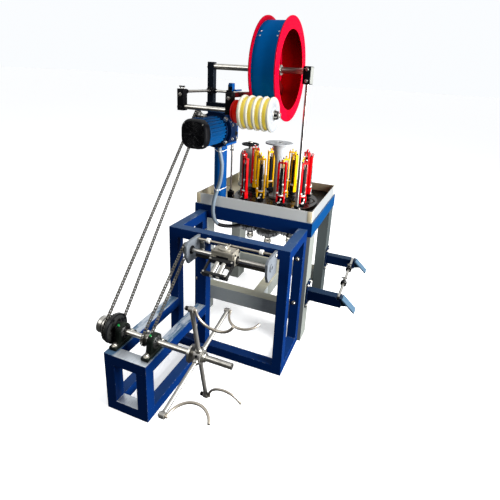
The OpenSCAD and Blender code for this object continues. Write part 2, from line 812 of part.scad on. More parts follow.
module roller_bracket() color(black) {
  block_back = roller_y + block_d / 2;
  right_arm_w = 22;
  right_arm_x = block2_left + block2_w / 2 - right_arm_w / 2;
  for (b = [[block1_left, block_w], [block2_left, block2_w]])
    translate([b[0], roller_y - block_d / 2, block_top - block_h]) difference() {
      cube([b[1], block_d, block_h]);
      translate([-1, block_d / 2, roller_z - block_top + block_h]) bar_x(roller_shaft_r + run_gap, b[1] + 2);
    }
  for (dx = [9, 25])
    translate([block1_left + dx, roller_y, block_top]) {
      cylinder(r = 3, h = 8, $fn = 16);
      translate([0, 0, 8]) hex_head(6, 5);
    }
  translate([post_x, block_back, arm_z]) bar_y(arm_rod_r, drum_y - post_w / 2 - block_back);
  translate([post_left - 8, drum_y, arm_z]) bar_x(cross_rod_r, right_arm_x - post_left + 8);
  translate([right_arm_x, block_back, arm_z - 11])
    cube([right_arm_w, drum_y + 12 - block_back, 22]);
  translate([block2_left + 2, roller_y - 14, block_top]) cube([26, 28, 10]);
}

module winder_chain() color(dark)
  chain_loop(winder_chain_x, [output_y, output_z], [shaft_y, shaft_z], drive_pitch_r, clutch_pitch_r);

module traverse_chain() color(dark)
  chain_loop(traverse_chain_x, [traverse_y, traverse_z], [shaft_y, shaft_z], traverse_pitch_r, small_pitch_r);

module pillow_blocks() color("darkslategray") {
  base_len = 140;
  base_w = 38;
  base_t = 16;
  ring_r = 36;
  for (x = [rail_left_x, rail_right_x]) {
    translate([x, shaft_y, winder_h]) difference() {
      union() {
        translate([-base_w / 2, -base_len / 2, 0]) cube([base_w, base_len, base_t]);
        translate([-pillow_len / 2, 0, winder_shaft_rise]) bar_x(ring_r, pillow_len);
        translate([-pillow_len / 2, -ring_r, base_t / 2]) cube([pillow_len, 2 * ring_r, winder_shaft_rise - base_t / 2]);
      }
      translate([-base_w, 0, winder_shaft_rise]) bar_x(winder_shaft_r + run_gap, 2 * base_w);
    }
    for (s = [-1, 1])
      translate([x, shaft_y + s * base_len * 0.38, winder_h + base_t]) hex_head(10, 8);
  }
}

module traverse_plates() color("lightgray") {
  chamfer = 40;
  for (x = [traverse_left, traverse_right - traverse_plate_t])
    translate([x, 0, 0]) difference() {
      rotate([90, 0, 90]) linear_extrude(traverse_plate_t) polygon([
        [gate_front, traverse_top], [gate_front, traverse_top - traverse_plate_h],
        [traverse_front + chamfer / 2, traverse_top - traverse_plate_h],
        [traverse_front, traverse_top - traverse_plate_h + chamfer], [traverse_front, traverse_top - 16],
        [traverse_front + 16, traverse_top]
      ]);
      translate([-1, traverse_y, traverse_z]) bar_x(traverse_shaft_r + run_gap, traverse_plate_t + 2);
      translate([-1, collar_rod_y, collar_rod_z]) bar_x(collar_rod_r, traverse_plate_t + 2);
    }
}

module traverse_rails() color(steel) {
  inner = traverse_left + traverse_plate_t;
  inner_len = traverse_right - traverse_plate_t - inner;
  translate([traverse_left, collar_rod_y, collar_rod_z]) bar_x(collar_rod_r, traverse_right - traverse_left);
  for (x = [inner + 50, inner + inner_len - 66])
    translate([x, collar_rod_y, collar_rod_z]) difference() {
      bar_x(collar_rod_r + 6, 16);
      translate([-1, 0, 0]) bar_x(collar_rod_r + weld_gap, 18);
    }
  translate([inner, guide_bar_y - guide_bar_w / 2, guide_bar_z]) cube([inner_len, guide_bar_w, guide_bar_h]);
}

module payoff_arms() color(navy) {
  plate_h = 150;
  plate_w = 76;
  slot_r = payoff_rod_r + run_gap;
  for (y = [payoff_front_y, payoff_rear_y]) {
    translate([leg_x, y - plate_w / 2, payoff_z - plate_h / 2]) cube([payoff_plate_t, plate_w, plate_h]);
    difference() {
      translate([payoff_start, y - payoff_tube_w / 2, payoff_z - payoff_tube_h / 2])
        tube([payoff_reach, payoff_tube_w, payoff_tube_h], tube_wall);
      translate([payoff_rod_x, y - payoff_tube_w, payoff_rod_z]) {
        bar_y(slot_r, 2 * payoff_tube_w);
        translate([-slot_r, 0, 0]) cube([2 * slot_r, 2 * payoff_tube_w, payoff_tube_h]);
      }
    }
    translate([payoff_end, y - payoff_tube_w / 2 - 4, payoff_z + payoff_tube_h / 2 - 8])
      rotate([0, pad_slope, 0]) cube([pad_len, payoff_tube_w + 8, 8]);
    translate([payoff_end, y, 0]) rotate([90, 0, 0]) translate([0, 0, -6]) linear_extrude(12)
      polygon([
        [0, payoff_z + payoff_tube_h / 2 - 9], [0, payoff_z - payoff_tube_h / 2],
        [pad_len * 0.6 * cos(pad_slope), payoff_z + payoff_tube_h / 2 - 9 - pad_len * 0.6 * sin(pad_slope)]
      ]);
  }
}

// Slim upright rod with its floor block and the bracket on the gearbox's back.
module stop_rod() color(black) {
  rod_x = column_x + 31;
  rod_y = gearbox_front + gearbox_d + 32;
  block = 32;
  block_top_z = tray_floor_z + 56;
  bracket_z = column_top + 6;
  translate([rod_x - block / 2, rod_y - block / 2, tray_floor_z]) cube([block, block, 56]);
  translate([rod_x, rod_y, block_top_z]) cylinder(r = 5, h = bracket_z - block_top_z, $fn = 24);
  translate([rod_x - 18, gearbox_front + gearbox_d, bracket_z]) cube([36, 68, 80]);
}

module main_motor() color("gray") {
  foot_t = 12;
  dome = 26;
  translate([head_motor_x, head_motor_y, tray_floor_z]) rotate_extrude($fn = 64) polygon([
    [head_shaft_r + run_gap, 0], [head_motor_r, 0], [head_motor_r, foot_t], [head_motor_r - 8, foot_t + 2],
    [head_motor_r - 8, head_motor_h - dome], [head_motor_r - 22, head_motor_h],
    [head_shaft_r + run_gap, head_motor_h]
  ]);
}

// Shaft of the head motor, with the belt pulley at its lower end.
module motor_pulley() color(dark) {
  shaft_top = tray_floor_z + head_motor_h + 44;
  translate([head_motor_x, head_motor_y, 0]) rotate_extrude() polygon([
    [0, pulley_bottom], [motor_pulley_r + pulley_flange, pulley_bottom],
    [motor_pulley_r + pulley_flange, pulley_bottom + 5], [motor_pulley_r, pulley_bottom + 5],
    [motor_pulley_r, pulley_top - 5], [motor_pulley_r + pulley_flange, pulley_top - 5],
    [motor_pulley_r + pulley_flange, pulley_top], [head_shaft_r, pulley_top],
    [head_shaft_r, shaft_top], [0, shaft_top]
  ]);
}

module handwheel() color(black) {
  rim_r = 6;
  hub_h = 22;
  wheel_z = tray_floor_z + head_motor_h + 20;
  translate([head_motor_x, head_motor_y, wheel_z]) {
    difference() {
      union() {
        cylinder(r = head_shaft_r + 8, h = hub_h);
        for (a = [0, 120, 240]) rotate([0, 0, a]) translate([head_shaft_r + 4, -4, 8])
          cube([handwheel_r - head_shaft_r - 8, 8, 7]);
        translate([0, 0, 11]) rotate_extrude() translate([handwheel_r - rim_r, 0]) circle(r = rim_r, $fn = 24);
      }
      translate([0, 0, -1]) cylinder(r = head_shaft_r, h = hub_h + 2);
    }
  }
}

module drive_belt() color(black) {
  belt_gap = part_gap + 0.15;
  motor_at = [head_motor_x, head_motor_y];
  a = horn_start + (driven_horn - 1) * 360 / horn_count;
  horn_at = [head_x + horn_ring_r * cos(a), head_y + horn_ring_r * sin(a)];
  translate([motor_at[0], motor_at[1], pulley_bottom + 5 + part_gap])
    wrap_band(horn_at - motor_at, motor_pulley_r + belt_gap, drive_pulley_r + belt_gap, belt_t,
      pulley_h - 10 - 2 * part_gap, 48);
}

// Horn gear number k: notched plate, shaft, toothed wheel and end nut.
module horn_gear(k) color(dark) at_horn(k) {
  pitch = 360 / horn_teeth;
  meet = 90 + 180 / horn_count;
  phase = (k % 2 == 0) ? meet : meet + pitch / 2;
  tip_r = horn_r + 0.75 * gear_module;
  root_r = horn_r - 1.05 * gear_module;
  translate([0, 0, horn_shaft_bottom]) cylinder(r = horn_shaft_r, h = table_h - 6 - horn_shaft_bottom);
  translate([0, 0, gear_bottom]) linear_extrude(horn_gear_t) difference() {
    polygon([for (i = [0:horn_teeth - 1], q = [[-0.24, 0], [-0.11, 1], [0.11, 1], [0.24, 0]])
      let (t = phase + (i + q[0]) * pitch, r = q[1] == 1 ? tip_r : root_r) [r * cos(t), r * sin(t)]]);
    circle(r = horn_shaft_r);
  }
  translate([0, 0, horn_plate_z]) difference() {
    cylinder(r = horn_r - 4, h = horn_plate_t);
    for (a = [0:90:270]) rotate([0, 0, a]) translate([horn_r, 0, -1]) cylinder(r = 12, h = horn_plate_t + 2, $fn = 32);
    translate([0, 0, -1]) cylinder(r = horn_shaft_r, h = horn_plate_t + 2);
  }
  translate([0, 0, horn_shaft_bottom - 12]) hex_head(horn_shaft_r + 4, 12);
  if (k == driven_horn) translate([0, 0, 0]) rotate_extrude() polygon([
    [horn_shaft_r, pulley_bottom], [drive_pulley_r + pulley_flange, pulley_bottom],
    [drive_pulley_r + pulley_flange, pulley_bottom + 5], [drive_pulley_r, pulley_bottom + 5],
    [drive_pulley_r, pulley_top - 5], [drive_pulley_r + pulley_flange, pulley_top - 5],
    [drive_pulley_r + pulley_flange, pulley_top], [horn_shaft_r, pulley_top]
  ]);
}

module drum_rim() color("red") {
  shell_r = drum_lining_r - drum_lining_t;
  translate([drum_left, drum_y, drum_z]) rotate([90, 0, 90]) {
    for (z = [0, drum_w - drum_sheet]) translate([0, 0, z]) difference() {
      cylinder(r = drum_r, h = drum_sheet, $fn = 96);
      translate([0, 0, -1]) cylinder(r = drum_hole_r, h = drum_sheet + 2, $fn = 96);
    }
    translate([0, 0, drum_sheet + weld_gap]) difference() {
      cylinder(r = shell_r, h = drum_w - 2 * drum_sheet - 2 * weld_gap, $fn = 96);
      translate([0, 0, -1]) cylinder(r = shell_r - drum_sheet, h = drum_w, $fn = 96);
    }
  }
}

module drum_lining() color("steelblue") {
  translate([drum_left + drum_sheet, drum_y, drum_z]) rotate([90, 0, 90]) difference() {
    cylinder(r = drum_lining_r, h = drum_w - 2 * drum_sheet, $fn = 96);
    translate([0, 0, -1]) cylinder(r = drum_lining_r - drum_lining_t, h = drum_w, $fn = 96);
  }
}

module drum_spider() color("darkred") {
  hub_r = drum_axle_r + 20;
  hub_w = 70;
  arm_w = 40;
  arm_t = 12;
  reach = drum_lining_r - drum_lining_t - drum_sheet;
  translate([spider_x, drum_y, drum_z]) rotate([90, 0, 90]) difference() {
    union() {
      translate([0, 0, -hub_w / 2]) cylinder(r = hub_r, h = hub_w);
      intersection() {
        for (a = [90, 210, 330]) rotate([0, 0, a])
          translate([0, -arm_w / 2, -arm_t / 2]) cube([drum_r, arm_w, arm_t]);
        translate([0, 0, -arm_t]) cylinder(r = reach, h = 2 * arm_t, $fn = 96);
      }
    }
    translate([0, 0, -hub_w]) cylinder(r = drum_axle_r + run_gap, h = 2 * hub_w);
  }
}

module roller_shaft() color(steel) {
  left = block1_left - 4;
  right = roller_right + 26;
  translate([left, roller_y, roller_z]) bar_x(roller_shaft_r, right - left);
  translate([roller_right + 2, roller_y, roller_z]) rotate([0, 90, 0]) difference() {
    hex_head(20, 14);
    translate([0, 0, -1]) cylinder(r = roller_shaft_r, h = 16);
  }
}

module grooved_roller() color("ivory") {
  step = roller_flange_w + roller_groove_w;
  translate([roller_left, roller_y, roller_z]) rotate([90, 0, 90]) rotate_extrude($fn = 64)
    polygon(concat(
      [[roller_shaft_r, 0]],
      [for (i = [0:4]) each concat(
        [for (t = [0:22.5:90]) [roller_r - flange_round * (1 - sin(t)), i * step + flange_round * (1 - cos(t))]],
        [for (t = [90:-22.5:0])
          [roller_r - flange_round * (1 - sin(t)), i * step + roller_flange_w - flange_round * (1 - cos(t))]],
        i < 4 ? [[roller_groove_r, i * step + roller_flange_w], [roller_groove_r, (i + 1) * step]] : []
      )],
      [[roller_shaft_r, roller_w]]
    ));
}

module roller_disc() color("firebrick") {
  left = block2_left + block2_w + 4;
  translate([left, roller_y, roller_z]) difference() {
    rotate([90, 0, 90]) rotate_extrude() polygon([
      [0, 0], [roller_disc_r - 8, 0], [roller_disc_r, 8], [roller_disc_r, disc_w], [0, disc_w]
    ]);
    translate([-1, 0, 0]) bar_x(roller_shaft_r, disc_w + 2);
  }
}

// Output shaft of the gearbox with the winder chain's sprocket.
module drive_sprocket() color(dark) {
  left = winder_chain_x - 18;
  translate([left, output_y, output_z]) bar_x(output_r, motor_x + gearbox_w / 2 + 24 - left);
  translate([winder_chain_x, output_y, output_z]) sprocket(drive_pitch_r, output_r, 22);
}

// Winder shaft with its small sprocket, flange and end tube.
module winder_shaft() color(steel) {
  flange_x = reel_x - 40;
  translate([clutch_left + 8, shaft_y, shaft_z]) bar_x(winder_shaft_r, reel_x - 15 - clutch_left - 8);
  translate([traverse_chain_x, shaft_y, shaft_z]) sprocket(small_pitch_r, winder_shaft_r, 18);
  translate([flange_x, shaft_y, shaft_z]) difference() {
    bar_x(38, 8);
    translate([-1, 0, 0]) bar_x(winder_shaft_r, 10);
  }
  translate([reel_x + 15, shaft_y, shaft_z]) bar_x(reel_tube_r, winder_shaft_end - reel_x - 15);
}

// Slip clutch: pressure hub, chain sprocket between friction faces and backing disc.
module slip_clutch() color(dark) {
  hub_r = 37;
  translate([clutch_left, shaft_y, shaft_z]) difference() {
    bar_x(hub_r, clutch_hub_len);
    translate([8, 0, 0]) bar_x(winder_shaft_r, clutch_hub_len);
  }
  translate([winder_chain_x, shaft_y, shaft_z]) sprocket(clutch_pitch_r, winder_shaft_r, 10);
  translate([winder_chain_x + 10, shaft_y, shaft_z]) difference() {
    bar_x(clutch_r, clutch_plate_t);
    translate([-1, 0, 0]) bar_x(winder_shaft_r, clutch_plate_t + 2);
  }
}

// Turns children to reel arm number k, with the arm along local +X and the shaft along local +Z.
module at_arm(k) {
  translate([reel_x, shaft_y, shaft_z]) rotate([90, 0, 90]) rotate([0, 0, 90 + reel_lean + (k - 1) * 90]) children();
}

module reel_arms() color(steel) {
  hub_r = 30;
  translate([reel_x - 15, shaft_y, shaft_z]) bar_x(hub_r, 30);
  for (k = [1:4]) at_arm(k) {
    translate([hub_r - 4, 0, 0]) rotate([0, 90, 0]) cylinder(r = arm_r, h = reel_r - hub_r + 4 - arm_clamp_r + 2);
    translate([reel_r, 0, -arm_clamp_len / 2]) difference() {
      cylinder(r = arm_clamp_r, h = arm_clamp_len);
      translate([0, 0, -1]) cylinder(r = hook_rod_r + run_gap, h = arm_clamp_len + 2, $fn = 32);
    }
  }
}

// Bow hook number k: a pin in the arm's clamp, with a knob or a plain head, and a bow towards the shaft.
module reel_hook(k) color(steel) at_arm(k) {
  bow_r = hook_span / 2;
  start = arm_clamp_len / 2 + hook_rod_r + 1;
  head = k % 2 == 1 ? [knob_r, knob_len] : [hook_rod_r + 2.5, 5];
  pin_low = -arm_clamp_len / 2 - part_gap - head[1];
  translate([reel_r, 0, pin_low]) cylinder(r = hook_rod_r, h = start - pin_low, $fn = 32);
  translate([reel_r, 0, pin_low]) cylinder(r = head[0], h = head[1], $fn = 32);
  translate([reel_r, 0, start]) sphere(r = hook_rod_r + 0.4, $fn = 32);
  translate([reel_r, 0, start + bow_r]) rotate([90, 0, 0]) rotate([0, 0, 270 - hook_sweep])
    rotate_extrude(angle = hook_sweep) translate([bow_r, 0]) circle(r = hook_rod_r, $fn = 24);
}

module traverse_shaft() color(steel) {
  left = traverse_chain_x - 14;
  translate([left, traverse_y, traverse_z]) bar_x(traverse_shaft_r, traverse_right - 2 - left);
  translate([traverse_chain_x, traverse_y, traverse_z]) sprocket(traverse_pitch_r, traverse_shaft_r, 12);
}

// Local frame of the sloping guide fork at the carriage's front.
module at_fork() {
  translate([carriage_x, carriage_front, carriage_bottom + 22]) rotate([guide_tilt, 0, 0]) children();
}

// Sideways place of guide roller 0 or 1 in the fork.
function guide_roller_x(i) = (i - 0.5) * guide_pitch;

// Rectangular fork: rear bar on the carriage, front bar and two side strips.
module guide_fork() {
  translate([-fork_w / 2, -fork_bar_t, -fork_bar_h / 2]) cube([fork_w, fork_bar_t + 8, fork_bar_h]);
  translate([-fork_w / 2, -fork_len, -fork_bar_h / 2]) cube([fork_w, fork_bar_t, fork_bar_h]);
  for (x = [-fork_w / 2, fork_w / 2 - fork_strip_t])
    translate([x, -fork_len + 1, -fork_strip_h / 2]) cube([fork_strip_t, fork_len - 2, fork_strip_h]);
}

module traverse_carriage() color("silver") {
  difference() {
    union() {
      translate([carriage_x - carriage_w / 2, carriage_front, carriage_bottom])
        cube([carriage_w, carriage_d, carriage_h]);
      at_fork() guide_fork();
      translate([carriage_x - 24, traverse_y + carriage_d / 2 - 2, guide_bar_z - 6])
        cube([48, guide_bar_y - guide_bar_w / 2 - part_gap - traverse_y - carriage_d / 2 + 2, 40]);
    }
    translate([carriage_x - carriage_w, traverse_y, traverse_z]) bar_x(traverse_shaft_r + run_gap, 2 * carriage_w);
    for (i = [0, 1]) at_fork()
      translate([guide_roller_x(i), -fork_len - 1, 0]) bar_y(guide_pin_r + run_gap, fork_len + 1);
    translate([carriage_x, traverse_y, carriage_top - 12]) cylinder(r = 6 + run_gap, h = 14);
  }
}

// Guide roller number i, along the fork, with its pin in both bars.
module guide_roller(i) color(steel) at_fork() translate([guide_roller_x(i), 0, 0]) {
  translate([0, -fork_len + fork_bar_t + part_gap, 0]) bar_y(guide_roller_r, guide_roller_len - 2 * part_gap);
  translate([0, -fork_len, 0]) bar_y(guide_pin_r, fork_len - part_gap);
}

// Lever on top of the carriage that tips over at each collar.
module reverse_lever() color("lightgray") {
  translate([carriage_x, traverse_y, 0]) {
    translate([0, 0, carriage_top - 12]) cylinder(r = 6, h = 12 + part_gap + 8);
    translate([-30, -9, carriage_top + part_gap]) cube([60, 18, 8]);
    translate([-5, 0, carriage_top + part_gap]) cube([10, collar_rod_y - traverse_y - collar_rod_r - 4, 8]);
  }
}

module payoff_rod() color(steel) {
  front = payoff_front_y - 12;
  translate([payoff_rod_x, front, payoff_rod_z]) bar_y(payoff_rod_r, payoff_rear_y + 12 - front);
  for (f = [0.3, 0.68])
    translate([payoff_rod_x, payoff_front_y + (payoff_rear_y - payoff_front_y) * f, payoff_rod_z]) {
      difference() {
        bar_y(payoff_rod_r + 10, 22);
        translate([0, -1, 0]) bar_y(payoff_rod_r, 24);
      }
      translate([0, 11, payoff_rod_r + 9]) cylinder(r = 4, h = 14, $fn = 24);
      translate([0, 11, payoff_rod_r + 22]) cylinder(r = 9, h = 6, $fn = 24);
    }
}

// Ring of points across a route at point i.
function route_dir(route, i) =
  let (a = route[max(i - 1, 0)], b = route[min(i + 1, len(route) - 1)]) (b - a) / norm(b - a);

function route_ring(route, i, r, sides) =
  let (
    d = (i == 0 || i == len(route) - 1) ? [0, 0, i == 0 ? -1 : 1] : route_dir(route, i),
    u0 = cross(d, [0.3, 1, 0.05]),
    u = u0 / norm(u0),
    v = cross(d, u)
  )
  [for (s = [0:sides - 1]) route[i] + r * (cos(s * 360 / sides) * u + sin(s * 360 / sides) * v)];

// Closed tube swept along a route.
module swept_tube(route, r, sides) {
  count = len(route);
  points = [for (i = [0:count - 1]) each route_ring(route, i, r, sides)];
  skin = [for (i = [0:count - 2], s = [0:sides - 1], half = [0, 1])
    let (a = i * sides + s, b = i * sides + (s + 1) % sides)
    half == 0 ? [a, b, b + sides] : [a, b + sides, a + sides]];
  first = [for (s = [1:sides - 2]) [0, s + 1, s]];
  last = [for (s = [1:sides - 2]) [0, s, s + 1] + (count - 1) * sides * [1, 1, 1]];
  polyhedron(points, concat(skin, first, last));
}

module motor_conduit() color("slategray") swept_tube(conduit_route, conduit_r, conduit_sides);

placed() table_frame();
placed() table_legs();
placed() drip_tray();
placed() track_plate();
placed() bed_plate();
placed() core_tube();
placed() red_carriers();
placed() yellow_carriers();
placed() bobbins();
placed() gate_frame();
placed() winder_frame();
placed() frame_bolts();
placed() column();
placed() worm_gearbox();
placed() haul_motor();
placed() motor_fan_cover();
placed() drum_post();
placed() drum_axle();
placed() axle_stand();
placed() roller_bracket();
placed() winder_chain();
placed() traverse_chain();
placed() pillow_blocks();
placed() traverse_plates();
placed() traverse_rails();
placed() payoff_arms();
placed() stop_rod();
placed() main_motor();
placed() drive_belt();
placed() motor_conduit();
placed() handwheel();
placed() motor_pulley();
for (k = [1:horn_count]) placed() horn_gear(k);
placed() drum_rim();
placed() drum_lining();
placed() drum_spider();
placed() roller_shaft();
placed() grooved_roller();
placed() roller_disc();
placed() drive_sprocket();
placed() winder_shaft();
placed() slip_clutch();
placed() reel_arms();
for (k = [1:4]) placed() reel_hook(k);
placed() traverse_shaft();
placed() traverse_carriage();
placed() reverse_lever();
for (i = [0, 1]) placed() guide_roller(i);
placed() payoff_rod();
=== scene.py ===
import math
import bpy
import bmesh
from mathutils import Matrix, Vector


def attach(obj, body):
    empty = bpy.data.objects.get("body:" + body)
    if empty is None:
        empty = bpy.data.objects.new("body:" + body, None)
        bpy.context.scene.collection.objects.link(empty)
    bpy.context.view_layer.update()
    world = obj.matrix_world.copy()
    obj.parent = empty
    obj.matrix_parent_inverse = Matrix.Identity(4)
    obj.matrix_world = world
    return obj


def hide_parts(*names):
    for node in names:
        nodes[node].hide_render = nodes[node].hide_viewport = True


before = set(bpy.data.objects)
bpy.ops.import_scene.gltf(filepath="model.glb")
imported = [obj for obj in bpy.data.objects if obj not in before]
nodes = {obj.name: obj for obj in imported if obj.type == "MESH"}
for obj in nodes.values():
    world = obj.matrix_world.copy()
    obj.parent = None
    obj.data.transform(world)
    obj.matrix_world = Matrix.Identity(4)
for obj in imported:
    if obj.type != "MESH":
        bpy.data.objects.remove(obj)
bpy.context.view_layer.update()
print("frame loaded:", len(nodes), "nodes")

# drawing millimetres (table front middle on the floor) to scene metres
originShift = Vector((106.83376, -175.64248, 0.0))
toRight, toLeft = (1, 0, 0), (-1, 0, 0)
toBack, toFront = (0, 1, 0), (0, -1, 0)
toTop, toFloor = (0, 0, 1), (0, 0, -1)


def toScene(p):
    return (Vector(p) - originShift) / 1000.0


def circle(angles):  # points of a unit circle, at angles in degrees
    return [(math.cos(math.radians(t)), math.sin(math.radians(t))) for t in angles]


def coil(x, y, z, r, turn, rise, count):  # spring along Z, with its turn and rise from point to point
    return [(x + r * math.cos(turn * k), y + r * math.sin(turn * k), z + rise * k) for k in range(count)]


def upright(x, y, z, side=1):  # stands an outline up: its X along Y, its Y along Z, raised along X
    return Matrix(((0, 0, side, x), (side, 0, 0, y), (0, 1, 0, z), (0, 0, 0, 1)))


def addObject(name, data):
    thing = bpy.data.objects.new(name, data)
    bpy.context.collection.objects.link(thing)
    return thing


view = {
    "place": (745.395, -1841.131, 1450.8),
    "right": (0.933648, 0.353405, 0.058363),
    "down": (0.160529, -0.267178, -0.950182),
    "forward": (-0.320206, 0.896505, -0.306182),
    "focalPixels": 382.95,
    "centre": (266.44, 199.64),
    "imageSize": 500.0,
    "sensor": 36.0,
    "clipEnd": 300,
}


def makeCamera(v):
    data = bpy.data.cameras.new("photoCamera")
    size, half = v["imageSize"], v["imageSize"] / 2
    data.sensor_width = v["sensor"]
    data.lens = v["focalPixels"] / size * v["sensor"]
    data.shift_x = (half - v["centre"][0]) / size
    data.shift_y = (v["centre"][1] - half) / size
    data.clip_end = v["clipEnd"]
    camera = addObject("photoCamera", data)
    columns = (Vector(v["right"]), -Vector(v["down"]), -Vector(v["forward"]))
    turn = Matrix([[c[i] for c in columns] for i in range(3)]).to_4x4()
    camera.matrix_world = Matrix.Translation(toScene(v["place"])) @ turn
    bpy.context.scene.camera = camera


makeCamera(view)
print("camera placed")


# shader maths: a socket that adds Math nodes for + - * and powers
class Wire:
    def __init__(self, graph, socket):
        self.graph = graph
        self.socket = socket

    def calc(self, operation, a, b):
        return self.graph.add("ShaderNodeMath", {"operation": operation}, {0: a, 1: b})

    def __add__(self, other):
        return self.calc("ADD", self, other)

    def __sub__(self, other):
        return self.calc("SUBTRACT", self, other)

    def __rsub__(self, other):
        return self.calc("SUBTRACT", other, self)

    def __mul__(self, other):
        return self.calc("MULTIPLY", self, other)

    def __pow__(self, other):
        return self.calc("POWER", self, other)

    __radd__ = __add__
    __rmul__ = __mul__

    def above(self, edge, soft):
        return self.graph.ramp(self, edge - soft, edge + soft, 0.0, 1.0)

    def below(self, edge, soft):
        return 1 - self.above(edge, soft)


class Graph:
    def __init__(self, tree):
        self.tree = tree

    def plug(self, socket, value):
        if isinstance(value, Wire):
            self.tree.links.new(value.socket, socket)
        elif socket.type == "RGBA" and len(value) == 3:
            socket.default_value = (*value, 1.0)
        else:
            socket.default_value = value

    def add(self, kind, settings=None, sockets=None, out=0):
        node = self.tree.nodes.new(kind)
        for key, value in (settings or {}).items():
            setattr(node, key, value)
        for key, value in (sockets or {}).items():
            self.plug(node.inputs[key], value)
        return Wire(self, node.outputs[out])

    def split(self, vector, letter):
        return self.add("ShaderNodeSeparateXYZ", None, {0: vector}, letter)

    def ramp(self, value, start, end, low, high):
        return self.add("ShaderNodeMapRange", {"interpolation_type": "SMOOTHSTEP"},
                        {0: value, 1: start, 2: end, 3: low, 4: high})


class Finish(Graph):
    def __init__(self, name):
        self.material = bpy.data.materials.new(name)
        self.material.use_nodes = True
        super().__init__(self.material.node_tree)
        self.tree.nodes.clear()
        self.shader = self.tree.nodes.new("ShaderNodeBsdfPrincipled")
        out = self.tree.nodes.new("ShaderNodeOutputMaterial")
        self.tree.links.new(self.shader.outputs[0], out.inputs[0])
        self.objectSpot = None

    def set(self, **sockets):
        for key, value in sockets.items():
            self.plug(self.shader.inputs[key.replace("_", " ")], value)
        return self.material

    def spot(self):
        if self.objectSpot is None:
            self.objectSpot = self.add("ShaderNodeTexCoord", out="Object")
        return self.objectSpot

    def normal(self):
        return self.add("ShaderNodeNewGeometry", out="Normal")

    def rounded(self, radius):  # normal softened over the edges
        return self.add("ShaderNodeBevel", {"samples": 4}, {"Radius": radius})

    def vectors(self, operation, a, b, out=0):
        return self.add("ShaderNodeVectorMath", {"operation": operation}, {0: a, 1: b}, out)

    def axis(self, letter):
        return self.split(self.spot(), letter)

    def stretch(self, scale):
        return self.add("ShaderNodeMapping", None, {"Vector": self.spot(), "Scale": scale})

    def noise(self, scale, detail=3.0, rough=0.5, vector=None):
        sockets = {"Vector": vector or self.spot(), "Scale": scale, "Detail": detail, "Roughness": rough}
        return self.add("ShaderNodeTexNoise", None, sockets)

    def mix(self, mask, a, b):
        return self.add("ShaderNodeMix", {"data_type": "RGBA"}, {0: mask, 6: a, 7: b}, 2)

    def edge(self, radius):  # 0 on flats, 1 near outside and inside corners
        return 1 - self.vectors("DOT_PRODUCT", self.rounded(radius), self.normal(), "Value")

    def facing(self, centre, along=None):  # 1 on faces that look towards a point, or an axis along X
        toward = self.vectors("SUBTRACT", centre, self.spot())
        if along == "X":
            toward = self.vectors("MULTIPLY", toward, (0.0, 1.0, 1.0))
        return self.vectors("DOT_PRODUCT", toward, self.normal(), "Value").above(0.01, 0.008)

    def within(self, box):  # 1 inside the limits given for each axis
        mask = None
        for letter, (low, high) in box.items():
            spot = self.axis(letter)
            span = spot.above(low, 0.002) * spot.below(high, 0.002)
            mask = span if mask is None else mask * span
        return mask

    def bump(self, height, strength, distance, radius=0.0):
        sockets = {"Height": height, "Strength": strength, "Distance": distance}
        if radius:
            sockets["Normal"] = self.rounded(radius)
        return self.add("ShaderNodeBump", None, sockets)


def shade(colour, factor):
    return tuple(min(1.0, c * factor) for c in colour)


far = 9.0  # metres, past every side of the machine
dustTone = (0.62, 0.62, 0.6)
slateDustAndSheen = (0.12, 0.22, 0.3)  # dust over blue, and a painted sheen on the upward faces


# painted steel: tone drift, fine orange peel, worn edges and a little dust on top, which is also a painted
# sheen where it takes the slate tone
def paintFinish(name, colour, rough, wear, bare, edgeRadius, dustAndSheen, topTone=dustTone,
                bareTop=None, inner=None, tints=(), gloss=1.13, dustAndSheenFrom=None):
    f = Finish(name)
    drift = f.noise(5.0, 4.0, 0.6)
    fine = f.noise(420.0, 2.0)  # orange peel
    scuff = f.noise(70.0, 6.0, 0.7)  # breaks up the worn edges
    base = f.mix(drift, shade(colour, 0.86), shade(colour, 1.12))
    for box, tone in tints:  # another colour within a box
        base = f.mix(f.within(box), base, tone)
    up = f.split(f.normal(), "Z").above(0.7, 0.25)
    smear = f.noise(9.0, 6.0, 0.7, f.stretch((1.0, 1.0, 3.0)))
    # upward faces take the top tone: dust, and with the slate tone also a painted sheen
    layer = up * (dustAndSheen * (0.25 + smear * 1.5))
    if dustAndSheenFrom:  # rails near the floor stay dark: the top layer fades out low down, painted shade there
        layer = layer * (0.12 + f.axis("Z").above(dustAndSheenFrom, 0.02) * 0.88)
    base = f.mix(layer, base, topTone)
    if inner:  # faces that look towards the middle of a round form take a darker colour, painted shade
        base = f.mix(f.facing(inner["centre"], inner["along"]), base, inner["colour"])
    worn = (f.edge(edgeRadius) * 3.0).above(0.55, 0.35) * scuff.above(0.56, 0.05) * wear
    if bareTop:  # paint rubbed through on the upper faces
        scratch = f.noise(60.0, 6.0, 0.75, f.stretch(bareTop["streak"]))
        gone = f.axis("Y").below(bareTop["frontY"], 0.002) * f.axis("X").above(bareTop["leftX"], 0.006)
        patch = f.noise(10.0, 5.0, 0.65, f.stretch(bareTop["streak"])).above(bareTop["patch"], 0.08) * 0.7
        patch = patch * f.axis("Z").above(bareTop["over"], 0.01)
        rubbed = up * (gone * (0.75 + scratch * 0.4) + (1 - gone) * patch)
        worn = 1 - (1 - worn) * (1 - rubbed * scratch.above(0.34, 0.12))
    base = f.mix(worn, base, bare)
    return f.set(Base_Color=base, Roughness=rough + drift * 0.14 - worn * 0.08, Metallic=worn * 0.7,
                 IOR=gloss, Normal=f.bump(fine, 0.12, 0.0004, edgeRadius))


